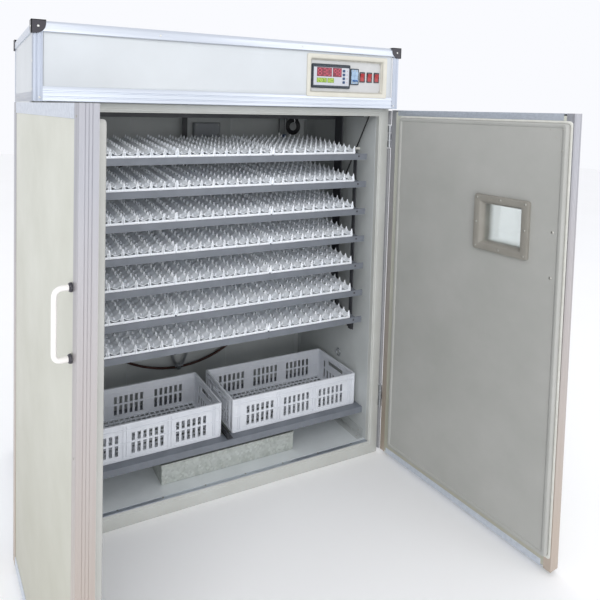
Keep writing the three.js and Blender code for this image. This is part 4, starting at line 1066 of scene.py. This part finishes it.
# ---- circuit breaker ----
# A two-pole miniature breaker: pale blue-grey body in a black surround, with one joined toggle.
breaker_body = new_finish(
    "pale_blue_grey_breaker", ("#a3bcd4", "#93adc6"), 30, (0.38, 0.5), 1.6, 0.04, IOR=1.5
)
toggle_blue = new_finish("blue_toggle", ("#2f64a8", "#28578f"), 16, (0.25, 0.38), 1.2, 0.03, IOR=1.5)
surround_of_breaker = frame_of(inset(BREAKER_BOX, [
    (0, 2, -293.2), (0, 2, -297.4), (0.6, 2, -298), (3.2, 1.5, -298), (3.2, 1.5, -293.2),
]))
make_piece("breaker_surround", "cabinet", surround_of_breaker, controller_black)
x0, x1, z0, z1 = BREAKER_BOX
middle = (x0 + x1) / 2
poles = []
for a, b in ((x0 + 3.4, middle - 0.2), (middle + 0.2, x1 - 3.4)):
    poles.append(slab((a, -297.4, z0 + 3.4), (b, -293.2, z1 - 3.4), 0.6, axis=1))
    poles.append(slab((a + 0.6, -299.9, z0 + 15), (b - 0.6, -296, z0 + 20.5), 0.8, axis=1))
    poles.append(slab((a + 0.6, -299.9, z1 - 26), (b - 0.6, -296, z1 - 12), 0.8, axis=1))
make_piece("breaker_poles", "cabinet", together(*poles), breaker_body,
           replaces=["breaker"])
terminals = repeated(
    turned([(0.6, -297.5), (2.4, -297.5), (2.4, -297.9), (1.8, -298.1), (0.3, -298.1)], (0, 0), 1, 12),
    [(x, 0, z) for x in (x0 + 11, x1 - 11) for z in (z0 + 7.5, z1 - 7.5)],
)
make_piece("breaker_terminal_screws", "cabinet", terminals, zinc_screw)
TOGGLE_PIVOT, TOGGLE_REST = (-297.0, 1510.0), math.radians(30)
lever = [
    slab((middle - 10.8, -306.6, 1508.3), (middle - 1.2, -295.4, 1511.8), 1.2, axis=0),
    slab((middle + 1.2, -306.6, 1508.3), (middle + 10.8, -295.4, 1511.8), 1.2, axis=0),
    slab((middle - 2, -306, 1509), (middle + 2, -303, 1511.4), 0.6, axis=0),
]
paddle = tilted(together(*lever), TOGGLE_PIVOT, TOGGLE_REST)
make_piece("breaker_toggle_lever", "toggle", paddle, toggle_blue,
           replaces=["breaker_toggle"])

# ---- egg rack ----
# Painted steel angle: a stand from beam to uprights, seven tray frames that tilt on pivots, the
# link bar that joins them and the motor's crank. Slate and black-grey paint.
rack_paint = new_finish(
    "slate_painted_steel", ("#757a82", "#676c74"), 60, (0.4, 0.55), 3, 0.05, IOR=1.5
)
stand_paint = new_finish(
    "black_grey_painted_steel", ("#3b3c40", "#303135"), 60, (0.42, 0.58), 3, 0.05, IOR=1.5
)


def painted_node(node, finish, round_off):
    """A CAD node kept as it is, painted, with its loose triangles welded and its edges rounded."""
    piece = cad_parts[node]
    piece.data.materials.clear()
    piece.data.materials.append(finish)
    weld = piece.modifiers.new("weld", "WELD")
    weld.merge_threshold = 0.00002
    bevel = piece.modifiers.new("rounded edges", "BEVEL")
    bevel.width, bevel.segments, bevel.limit_method = round_off * MM, 2, "ANGLE"
    bevel.angle_limit = math.radians(35)


RACK_PIVOT_Y, TOP_LEVEL_Z, LEVEL_PITCH, LEVELS = -60.0, 1228.0, 110.0, 7
RACK_CENTRE_X, RACK_TILT = -12.0, math.radians(5)
for level_number in range(1, LEVELS + 1):
    painted_node(f"tray_frame_{level_number}", rack_paint, 1.0)
for node in ("rack_stand", "link_bar", "turn_crank"):
    painted_node(node, stand_paint, 0.8)

# Round-headed screws hold each frame's bars, painted over with the stand's paint. Zinc-plated
# hexagon bolts hold the crank, and washers close the link's pins.
for level_number in range(1, LEVELS + 1):
    z = TOP_LEVEL_Z - LEVEL_PITCH * (level_number - 1)
    cross_screws = repeated(dome(4, 2.4, (1, -1)), [(x, -232.0, z + 2) for x in (-589, 565)])
    lower_screws = repeated(dome(3.6, 2.6, (2, -1)), [
        (x, RACK_PIVOT_Y - 170, z - 12) for x in (-199, 175)
    ])
    screws = tilted(together(cross_screws, lower_screws), (RACK_PIVOT_Y, z), RACK_TILT)
    make_piece(f"tray_frame_screws_{level_number}", f"level_{level_number}", screws,
               stand_paint)
crank_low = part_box("turn_crank")[0] / MM
bolt = turned([(2.2, 588.6), (2.2, 586.4), (5.4, 586.2), (5.4, 583.2), (4.6, 582.4)], (0, 0), 0, 6)
crank_bolts = repeated(bolt, [(0, crank_low[1] + 42, crank_low[2] + 15 + s) for s in (-7, 7)])
make_piece("crank_bolts", "crank", crank_bolts, zinc_screw)
link_low, link_high = (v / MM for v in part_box("link_bar"))
link_y = (link_low[1] + link_high[1]) / 2
pins = [(link_low[0], link_y, TOP_LEVEL_Z - LEVEL_PITCH * k - 11.3) for k in range(LEVELS)]
washers = repeated(turned([(7, 0.3), (7, -1.0), (5.2, -1.4)], (0, 0), 0, 16), pins)
make_piece("link_pin_washers", "link", washers, zinc_screw)

# ---- turning motor ----
# A round gear motor on the right-hand upright, with a domed cover, two mounting ears and a cable gland.
MOTOR_Z = 526.0
motor_finish = new_finish(
    "black_textured_gear_motor", ("#2b2d31", "#222428"), 30, (0.45, 0.6), 1.5, 0.08, IOR=1.5
)
motor_body = turned(
    [(24, 598.4), (29.4, 598.6), (30, 599.4), (30, 604), (28.6, 604.6), (28.6, 606), (30, 606.6),
     (30, 623), (28.5, 626.5), (25, 628.2), (10, 628.3)],
    (RACK_PIVOT_Y, MOTOR_Z), 0, 40,
)
gland = turned(
    [(9, 553), (9, 556.5), (7.6, 557), (7.6, 563), (6.2, 564), (5.2, 568), (3.2, 568.2)],
    (616.3, RACK_PIVOT_Y), 2, 16,
)
motor_ears = [
    slab(
        (598.4, RACK_PIVOT_Y + sy * 30 - 7, MOTOR_Z - 8),
        (602, RACK_PIVOT_Y + sy * 30 + 7, MOTOR_Z + 8), 3, axis=0,
    ) for sy in (-1, 1)
]
make_piece("turning_motor_body", "cabinet",
           together(motor_body, gland, *motor_ears), motor_finish, replaces=["turn_motor"], sharp=30)
clips = [
    slab((MOTOR_CABLE_X - 5, y - 6, z - 5), (633.2, y + 6, z + 5), 2)
    for y, z in ((-20, 940), (-20, 700), (-150, 1240))
]
make_piece("motor_cable_clips", "cabinet", together(*clips), silicone)

# ---- egg trays ----
# Translucent white polypropylene setting trays, three to a level. Each is a waved cup sheet whose
# height is a cosine across the columns plus a smaller one along the rows. Star-section pins stand in
# staggered rows, joined from front to rear by thin toothed webs, over a pierced base. On each
# level two trays are pushed together, so that one gap between trays is wider.
TRAY_PITCH, EGG_PITCH, BASE_ROWS, ROW_PITCH = 374.0, 46.75, 20, 16.4
BASE_LOW, BASE_HIGH, PIN_TOP = 12.4, 15.2, 43.0
tray_plastic = new_finish(
    "translucent_white_polypropylene", ("#f0f3f7", "#e4e9ef"), 70, (0.32, 0.45), 2, 0.03,
    IOR=1.49, Subsurface_Weight=0.4, Subsurface_Radius=(0.02, 0.02, 0.02),
)


def pierced(size, holes, low, high, axis):
    """A plate of that size (u0, u1, v0, v1) from low to high along the axis, with rectangular
    holes. The holes' edges cut it into a grid of cells, and each cell in a hole is left out."""
    size, holes = np.asarray(size, float), np.asarray(holes, float)
    u = np.unique(np.round(np.concatenate([size[:2], holes[:, 0], holes[:, 1]]), 3))
    v = np.unique(np.round(np.concatenate([size[2:], holes[:, 2], holes[:, 3]]), 3))
    cu, cv = (u[1:] + u[:-1]) / 2, (v[1:] + v[:-1]) / 2
    in_u = (cu > holes[:, :1]) & (cu < holes[:, 1:2])
    in_v = (cv > holes[:, 2:3]) & (cv < holes[:, 3:4])
    solid = np.pad(~(in_u[:, :, None] & in_v[:, None, :]).any(0), 1)
    grid = np.arange(len(u) * len(v)).reshape(len(u), len(v))
    upper = grid + grid.size
    i, j = np.nonzero(solid[1:-1, 1:-1])
    top = np.stack([upper[i, j], upper[i + 1, j], upper[i + 1, j + 1], upper[i, j + 1]], 1)
    bottom = np.stack([grid[i, j], grid[i, j + 1], grid[i + 1, j + 1], grid[i + 1, j]], 1)
    blocks = [top, bottom]
    for step in (1, -1):
        i, j = np.nonzero(solid[:-1, 1:-1] & ~solid[1:, 1:-1] if step > 0
                          else ~solid[:-1, 1:-1] & solid[1:, 1:-1])
        wall = np.stack([grid[i, j], grid[i, j + 1], upper[i, j + 1], upper[i, j]], 1)
        blocks.append(wall[:, ::step])
        i, j = np.nonzero(solid[1:-1, :-1] & ~solid[1:-1, 1:] if step > 0
                          else ~solid[1:-1, :-1] & solid[1:-1, 1:])
        wall = np.stack([grid[i, j], upper[i, j], upper[i + 1, j], grid[i + 1, j]], 1)
        blocks.append(wall[:, ::step])
    uu, vv = np.meshgrid(u, v, indexing="ij")
    points = np.empty((2 * grid.size, 3))
    points[:, [k for k in range(3) if k != axis]] = np.tile(
        np.stack([uu.ravel(), vv.ravel()], 1), (2, 1)
    )
    points[:, axis] = np.repeat([low, high], grid.size)
    if enclosed(points - points.mean(0), blocks) < 0:
        blocks = [block[:, ::-1] for block in blocks]
    return points, blocks


star = np.arange(8) * math.pi / 4
star_reach = np.where(np.arange(8) % 2 == 0, 1.0, 0.5)
pin = skin([
    np.stack([r * star_reach * np.cos(star), r * star_reach * np.sin(star), np.full(8, h)], 1)
    for r, h in ((8.0, BASE_HIGH - 0.5), (4.4, 32.0), (1.3, PIN_TOP))
])
low_pin = skin([
    np.stack([r * star_reach * np.cos(star), r * star_reach * np.sin(star), np.full(8, h)], 1)
    for r, h in ((7.0, BASE_HIGH - 0.5), (1.2, 30.0))
])
pin_places, webs = [], []
for column in range(9):
    u = np.clip((column - 4) * EGG_PITCH, -183.4, 183.4)
    rows = (np.arange(11) - 5.0) * 2 * ROW_PITCH
    pin_places.append(np.stack([np.full(11, u), rows, np.zeros(11)], 1))
    crest = np.empty(21)
    crest[::2], crest[1::2] = rows, (rows[1:] + rows[:-1]) / 2
    heights = np.where(np.arange(21) % 2 == 0, 37.0, 24.0)
    outline = list(zip(crest, heights))
    outline += [(crest[-1], BASE_HIGH - 0.5), (crest[0], BASE_HIGH - 0.5)]
    webs.append(prism(outline, u - 1.4, u + 1.4, 0))
between_u, between_v = np.meshgrid(
    (np.arange(8) - 3.5) * EGG_PITCH, (np.arange(10) - 4.5) * 2 * ROW_PITCH
)
low_places = np.stack([between_u.ravel(), between_v.ravel(), np.zeros(80)], 1)
pins_of_tray = together(repeated(pin, np.concatenate(pin_places)), repeated(low_pin, low_places))
cell_u = (np.arange(16) - 7.5) * EGG_PITCH / 2
cell_v = (np.arange(BASE_ROWS) - (BASE_ROWS - 1) / 2) * ROW_PITCH
hole_u, hole_v = (a.ravel() for a in np.meshgrid(cell_u, cell_v))
base_holes = np.stack([hole_u - 5.5, hole_u + 5.5, hole_v - 4, hole_v + 4], 1)
base = pierced((-184.9, 184.9, -169.5, 169.5), base_holes, BASE_LOW, BASE_HIGH, 2)
skirt = frame_of([
    (-184.9, 184.9, -169.5, 169.5, 3, BASE_HIGH - 0.5), (-184.9, 184.9, -169.5, 169.5, 3, 20),
    (-184, 184, -168.5, 168.5, 3, 20.6), (-183.4, 183.4, -168, 168, 2, 20),
    (-183.4, 183.4, -168, 168, 2, BASE_HIGH - 0.5),
], axis=2)
sheet_u, sheet_v = np.linspace(-183, 183, 57), np.linspace(-167.5, 167.5, 41)
crown = (
    26.5 + 4.5 * np.cos(2 * math.pi * sheet_u / EGG_PITCH)[:, None]
    + 1.6 * np.cos(2 * math.pi * sheet_v / (2 * ROW_PITCH))[None, :]
)
upper_side = np.stack(np.broadcast_arrays(sheet_u[:, None], sheet_v[None, :], crown), -1)
lower_side = upper_side[:, ::-1] - (0, 0, 1.6)
cups = skin(np.concatenate([upper_side, lower_side], 1))
tray_shape = together(pins_of_tray, base, skirt, cups, *webs)
for level_number in range(1, LEVELS + 1):
    z = TOP_LEVEL_Z - LEVEL_PITCH * (level_number - 1)
    for place_number in (1, 2, 3):
        x = RACK_CENTRE_X + (place_number - 2) * TRAY_PITCH
        if place_number == 2:
            x += 3.6 if level_number == 6 else -3.6
        tray = tilted(repeated(tray_shape, [(x, RACK_PIVOT_Y, z)]), (RACK_PIVOT_Y, z), RACK_TILT)
        make_piece(
            f"egg_tray_{level_number}_{place_number}", f"trays_{level_number}",
            tray, tray_plastic, sharp=30,
            replaces=[f"egg_trays_{level_number}"] if place_number == 1 else (),
        )

# ---- basket shelf ----
# A painted angle frame across the cabinet, with a slotted angle between the baskets.
painted_node("basket_shelf", rack_paint, 1.0)
slot_holes = [(y, y + 22, 187, 193) for y in range(-200, 90, 36)]
slotted = together(
    pierced((-216, 118, 178.2, 200), slot_holes, 19.5, 22, 0),
    slab((19.5, -216, 178.2), (42, 118, 180.6), 0.4),
)
make_piece("slotted_angle_between_baskets", "cabinet", slotted, stand_paint)

# ---- hatching baskets ----
# Grey-white moulded polypropylene baskets with slotted walls, double ribs, a turned rim and a
# pierced floor. Each end has a hand slot.
basket_plastic = new_finish(
    "grey_white_moulded_polypropylene", ("#dcdfe5", "#ced2d9"), 80, (0.36, 0.5), 2.4, 0.05, IOR=1.49
)
for name in ("left", "right"):
    low, high = (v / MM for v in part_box(f"{name}_hatching_basket"))
    x0, y0, z0 = low
    x1, y1, z1 = high
    middle_x, middle_y = (x0 + x1) / 2, (y0 + y1) / 2
    wall_holes, end_holes = [], []
    for group in (-1, 0, 1):
        for k in range(6):
            centre = group * 164 + (k - 2.5) * 21
            wall_holes.append((middle_x + centre - 6, middle_x + centre + 6, z0 + 18, z0 + 56))
            wall_holes.append((middle_x + centre - 6, middle_x + centre + 6, z0 + 63, z0 + 92))
    for k in range(8):
        centre = (k - 3.5) * 22
        end_holes.append((middle_y + centre - 6, middle_y + centre + 6, z0 + 18, z0 + 56))
        if k in (0, 7):
            end_holes.append((middle_y + centre - 6, middle_y + centre + 6, z0 + 63, z0 + 92))
    end_holes.append((middle_y - 50, middle_y + 50, z1 - 42, z1 - 18))
    wall, rim = 3.0, 3.5  # the walls' thickness, and how far the rim stands out from them
    shapes = []
    for near, far in ((y0 + rim, y0 + rim + wall), (y1 - rim - wall, y1 - rim)):
        shapes.append(pierced((x0 + rim, x1 - rim, z0 + 2, z1 - 2), wall_holes, near, far, 1))
    for near, far in ((x0 + rim, x0 + rim + wall), (x1 - rim - wall, x1 - rim)):
        end_size = (y0 + rim + wall, y1 - rim - wall, z0 + 2, z1 - 2)
        shapes.append(pierced(end_size, end_holes, near, far, 0))
    gu, gv = (a.ravel() for a in np.meshgrid(np.arange(26) - 12.5, np.arange(11) - 5.0))
    floor_holes = np.stack([
        middle_x + gu * 20.6 - 7.5, middle_x + gu * 20.6 + 7.5, middle_y + gv * 21.6 - 7.5,
        middle_y + gv * 21.6 + 7.5,
    ], 1)
    shapes.append(pierced((x0 + rim, x1 - rim, y0 + rim, y1 - rim), floor_holes, z0 + 3, z0 + 6, 2))
    side_box = (x0, x1, y0, y1)
    for bottom, top, out in ((z1 - 7, z1, 0), (z1 - 24, z1 - 20.5, 0.6), (z0 + 0.3, z0 + 8, 1.2),
                             (z0 + 58.5, z0 + 61.5, 1.6)):
        shapes.append(frame_of(inset(side_box, [
            (out, 7, bottom), (out, 7, top - 1), (out + 0.8, 6.5, top), (rim + wall + 0.6, 3, top),
            (rim + wall + 0.8, 3, bottom),
        ]), axis=2, steps=4))
    for offset in (-82, 82):
        for rib in (-6, 6):
            for near, far in ((y0 + 1, y0 + rim + 0.5), (y1 - rim - 0.5, y1 - 1)):
                x = middle_x + offset + rib
                shapes.append(slab((x - 1.2, near, z0 + 6), (x + 1.2, far, z1 - 6), 0.4))
    for end in (-1, 1):
        for near, far in ((y0 + 1, y0 + rim + 0.5), (y1 - rim - 0.5, y1 - 1)):
            for inset_x in (26, 34):
                x = (x0 if end < 0 else x1) - end * inset_x
                shapes.append(slab((x - 1.2, near, z0 + 6), (x + 1.2, far, z1 - 6), 0.4))
        for y in (y0 + 26, y0 + 34, y1 - 34, y1 - 26):
            a, b = (x0 + 1, x0 + rim + 0.5) if end < 0 else (x1 - rim - 0.5, x1 - 1)
            shapes.append(slab((a, y - 1.2, z0 + 6), (b, y + 1.2, z1 - 6), 0.4))
    corner_posts = [
        slab((cx - 4.5, cy - 4.5, z0 + 0.4), (cx + 4.5, cy + 4.5, z1 - 3), 4)
        for cx in (x0 + 5.6, x1 - 5.6) for cy in (y0 + 5.6, y1 - 5.6)
    ]
    make_piece(f"{name}_basket", f"{name}_basket",
               together(*shapes, *corner_posts), basket_plastic,
               replaces=[f"{name}_hatching_basket"], sharp=30)

# ---- water pan ----
# Galvanised sheet, folded, with a wired rim. Zinc spangle shows as crystals of 9 mm.
pan_zinc = new_finish(
    "spangled_galvanised_sheet", ("#cdd2ce", "#b6bbb5"), 40, (0.3, 0.5), 2, 0.03, metallic=0.35
)


def spangle(material, size, share):
    """Lays crystal facets of that many mm over a finish: each Voronoi cell's own grey multiplies
    the colour by between one minus the share and one."""
    shader = material.node_tree.nodes["Principled BSDF"]
    where = add_node(material, "ShaderNodeTexCoord")
    cells = add_node(
        material, "ShaderNodeTexVoronoi", {"Vector": where.outputs["Object"], "Scale": 1000 / size}
    )
    grey = add_node(
        material, "ShaderNodeMapRange", {"Value": cells.outputs["Color"], "To Min": 1 - share,
                                         "To Max": 1.0},
    )
    faceted = add_node(
        material, "ShaderNodeMix", {"Factor": 1.0}, data_type="RGBA", blend_type="MULTIPLY"
    )
    old = shader.inputs["Base Color"].links[0].from_socket
    material.node_tree.links.new(old, faceted.inputs[6])
    material.node_tree.links.new(grey.outputs["Result"], faceted.inputs[7])
    material.node_tree.links.new(faceted.outputs[2], shader.inputs["Base Color"])


spangle(pan_zinc, 9, 0.3)
low, high = (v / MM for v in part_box("water_pan"))
pan_box = (low[0], high[0], low[1], high[1])
z0, z1 = low[2], high[2]
pan = frame_of(inset(pan_box, [
    (4.5, 3, z0), (3, 4, z0 + 1.2), (2.6, 4, z1 - 7), (1.2, 5, z1 - 6.2), (0, 6, z1 - 4),
    (0, 6, z1 - 2.4), (1.4, 5, z1 - 0.5), (3.4, 4, z1), (5, 3, z1 - 1.4), (5.2, 3, z1 - 6),
    (5.4, 3, z0 + 3), (7, 2, z0 + 1.6),
]), axis=2, closed=False, steps=4)
make_piece("galvanised_water_pan", "pan", pan, pan_zinc, replaces=["water_pan"],
           sharp=35)

# ---- heater ring ----
# A bent tubular heating element, oxidised dark brown, held by pressed clips on the rear wall.
HEATER_RADIUS, HEATER_TUBE, HEATER_Y, HEATER_Z = 488.0, 5.0, 240.0, 739.0
heater_metal = new_finish(
    "oxidised_heater_tube", ("#4a2a22", "#2e211e"), 45, (0.4, 0.6), 2, 0.05, metallic=0.6
)
around_ring = np.arange(120) * 2 * math.pi / 120
across_tube = np.arange(14) * 2 * math.pi / 14
reach = HEATER_RADIUS + HEATER_TUBE * np.cos(across_tube)[None, :]
ring_rings = np.stack([
    reach * np.cos(around_ring)[:, None],
    np.broadcast_to(HEATER_Y + HEATER_TUBE * np.sin(across_tube)[None, :], (120, 14)),
    HEATER_Z + reach * np.sin(around_ring)[:, None],
], -1)
make_piece("heating_element", "cabinet", skin(ring_rings, True), heater_metal,
           replaces=["heater_ring"], sharp=60)
clip_angles = np.radians([270, 330, 30, 150, 210])
heater_clips = [
    slab((HEATER_RADIUS * math.cos(a) - 8, 233.4, HEATER_Z + HEATER_RADIUS * math.sin(a) - 11),
         (HEATER_RADIUS * math.cos(a) + 8, 257.8, HEATER_Z + HEATER_RADIUS * math.sin(a) + 11), 2)
    for a in clip_angles
]
make_piece("heater_clips", "cabinet", together(*heater_clips), hinge_zinc)
# Two pressed legs carry the ring's lowest clip, with a stud through each.
legs = together(*[
    prism([(side * 62, 352), (side * 50, 352), (side * 6, 258), (side * 16, 252)], 236.4, 238.4, 1)
    for side in (-1, 1)
], slab((-20, 235.5, 246), (20, 239, 262), 1.5, axis=1))
make_piece("heater_clip_legs", "cabinet", legs, hinge_zinc)
leg_studs = repeated(turned([(5.5, 238), (5.5, 233), (3, 232.6), (3, 226), (2, 225.6)], (0, 0), 1, 6),
                     [(side * 54, 0, 345) for side in (-1, 1)])
make_piece("heater_leg_studs", "cabinet", leg_studs, zinc_screw)

# ---- fan ----
# An axial fan behind the rack: pressed aluminium blades riveted to a hub, on a motor that hangs
# on a painted flat bar from the ceiling.
painted_node("fan_bracket", stand_paint, 0.8)
FAN_Z, FAN_RADIUS = 739.0, 199.0
fan_aluminium = new_finish(
    "pressed_aluminium_blade", ("#b0b3b7", "#9a9da1"), 40, (0.3, 0.45), 2.5, 0.03, metallic=0.9
)
pitch = math.radians(22)
chord = np.linspace(-1, 1, 9)
stations = np.linspace(30, FAN_RADIUS, 9)
blade_rings = []
for r in stations:
    half = 38 + 13 * math.sin(math.pi * (r - 30) / (FAN_RADIUS - 30) * 0.7)
    half = min(half, math.sqrt(max(FAN_RADIUS**2 + 1 - r**2, 400)) * 0.98 + 8)
    bow = 3.0 * (1 - chord**2)
    upper = np.stack([half * chord, bow + 0.8], 1)
    lower = np.stack([half * chord[::-1], bow[::-1] - 0.8], 1)
    flat = np.concatenate([upper, lower])
    depth = flat[:, 1] * math.cos(pitch) - flat[:, 0] * math.sin(pitch) * 0.95
    aside = flat[:, 0] * math.cos(pitch) + flat[:, 1] * math.sin(pitch)
    blade_rings.append(np.stack([np.full(len(flat), r), 147 + depth, aside], 1))
blade_points, blade_blocks = skin(blade_rings)
blades = []
for k in range(5):
    a = k * 2 * math.pi / 5
    x = blade_points[:, 0] * math.cos(a) - blade_points[:, 2] * math.sin(a)
    z = blade_points[:, 0] * math.sin(a) + blade_points[:, 2] * math.cos(a)
    scale = np.minimum(1, FAN_RADIUS / np.maximum(np.hypot(x, z), 1))
    blades.append((np.stack([x * scale, blade_points[:, 1], z * scale + FAN_Z], 1), blade_blocks))
hub = turned([(8, 130), (30, 130.6), (36, 133), (38, 137), (38, 160), (36.5, 163.4), (12, 164)],
             (FAN_Z, 0), 1, 36)
make_piece("fan_blades_and_hub", "fan", together(hub, *blades), fan_aluminium,
           replaces=["fan_rotor"], sharp=30)
motor_case = turned(
    [(30, 170), (46, 170.6), (53, 173), (55, 178)]
    + [(55 - 1.6 * (k % 2), 184 + 4 * k) for k in range(7)] + [(55, 214), (50, 218.6), (20, 218.7)],
    (FAN_Z, 0), 1, 44,
)
shaft = turned([(5, 158), (5, 171)], (FAN_Z, 0), 1, 16)
make_piece("fan_motor_case", "cabinet", together(motor_case, shaft), motor_finish,
           replaces=["fan_motor"], sharp=30)

# ---- sensors and fittings on the walls ----
# A stainless temperature probe, a vented blue humidity sensor, the wire hook that holds the coil,
# a junction box on the rear wall and a ring lug low on the right wall.
stainless = new_finish(
    "stainless_probe_sleeve", ("#cfd0d1", "#b4b6b8"), 12, (0.2, 0.32), 1, 0.02, metallic=1.0
)
painted_node("humidity_probe", key_blue, 0.8)
painted_node("temperature_probe", stainless, 0.5)
low, high = (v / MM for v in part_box("humidity_probe"))
vents = together(*[
    slab(
        (low[0] + 3, low[1] - 0.5, low[2] + 5 + 4 * k),
        (high[0] - 3, low[1] + 0.3, low[2] + 6.6 + 4 * k), 0.3,
    ) for k in range(4)
])
make_piece("humidity_sensor_vents", "cabinet", vents, cap_plastic)
hook_route = bent_route([
    (500, 137, 1419.6), (500, 137, 1335), (500, 137, 1331.5), (500, 150, 1331.0), (500, 163, 1333),
    (500, 163, 1362),
], 6, 6)
make_piece("coil_hook", "cabinet", tube(hook_route, 1.3, (1, 0, 0), 10), stainless)
box_grey = new_finish("grey_moulded_junction_box", ("#8f9398", "#81858a"), 50, (0.4, 0.55), 3, 0.06,
                      IOR=1.5)
junction = together(
    slab((50, 232, 1265), (175, 257.8, 1330), 4, axis=1),
    slab((54, 229.4, 1269), (171, 233, 1326), 3, axis=1),
)
make_piece("junction_box", "cabinet", junction, box_grey)
lid_screws = repeated(
    dome(2.8, 1.2, (1, -1)), [(x, 229.4, z) for x in (60, 165) for z in (1275, 1320)]
)
make_piece("junction_box_screws", "cabinet", lid_screws, zinc_screw)
# The lug is an oval ring of round wire: an ellipse of 12 by 15 mm carries a circle of 2.4 mm.
LUG_CENTRE, LUG_WIRE = (629.6, -60, 340), 2.4
lug_angle = np.linspace(0, 2 * math.pi, 29)[:-1]
lug_across = np.arange(8) * math.pi / 4
lug_rings = np.stack([
    LUG_CENTRE[0] + LUG_WIRE * np.broadcast_to(np.sin(lug_across), (28, 8)),
    LUG_CENTRE[1] + (12 + LUG_WIRE * np.cos(lug_across))[None] * np.cos(lug_angle)[:, None],
    LUG_CENTRE[2] + (15 + LUG_WIRE * np.cos(lug_across))[None] * np.sin(lug_angle)[:, None],
], -1)
make_piece("ring_lug", "cabinet", skin(lug_rings, True), hinge_zinc)

# ---- floor, light and background ----
# A pale matt floor, a large soft key from the upper left, soft fills from the right and from low
# in front, and a near-white surround.
floor_mesh = bpy.data.meshes.new("studio_floor")
floor_mesh.from_pydata([(-14, -12, 0), (14, -12, 0), (14, 14, 0), (-14, 14, 0)], [], [(0, 1, 2, 3)])
studio_floor = bpy.data.objects.new("studio_floor", floor_mesh)
bpy.context.scene.collection.objects.link(studio_floor)
studio_floor.data.materials.append(
    new_finish("plain_pale_floor", ("#fbfbfb", "#f8f8f8"), 900, (0.8, 0.9), 40, 0.02)
)
scene = bpy.context.scene
scene.view_settings.view_transform = "Standard"
scene.view_settings.look = "None"
surround_light = bpy.data.worlds.new("near_white_surround")
surround_light.use_nodes = True
background = surround_light.node_tree.nodes["Background"]
background.inputs["Color"].default_value = linear("#fafbff")
background.inputs["Strength"].default_value = 1.0
scene.world = surround_light
for name, power, size, place, target in (
    ("soft_key", 95, 3.2, (-3.0, -4.2, 4.4), (0, 0, 0.9)),
    ("soft_fill", 25, 3.0, (3.6, -4.4, 2.2), (0, 0, 0.8)),
    ("low_front_fill", 34, 2.4, (-0.9, -4.6, 0.9), (0, 0, 0.9)),
):
    light_data = bpy.data.lights.new(name, "AREA")
    light_data.energy, light_data.size = power, size
    light = bpy.data.objects.new(name, light_data)
    toward = np.array(target) - place
    back = -toward / np.linalg.norm(toward)
    right = np.cross((0, 0, 1), back)
    right /= np.linalg.norm(right)
    turn_matrix = np.eye(4)
    turn_matrix[:3, :3] = np.stack([right, np.cross(back, right), back], 1)
    turn_matrix[:3, 3] = place
    light.matrix_world = Matrix(turn_matrix.tolist())
    scene.collection.objects.link(light)
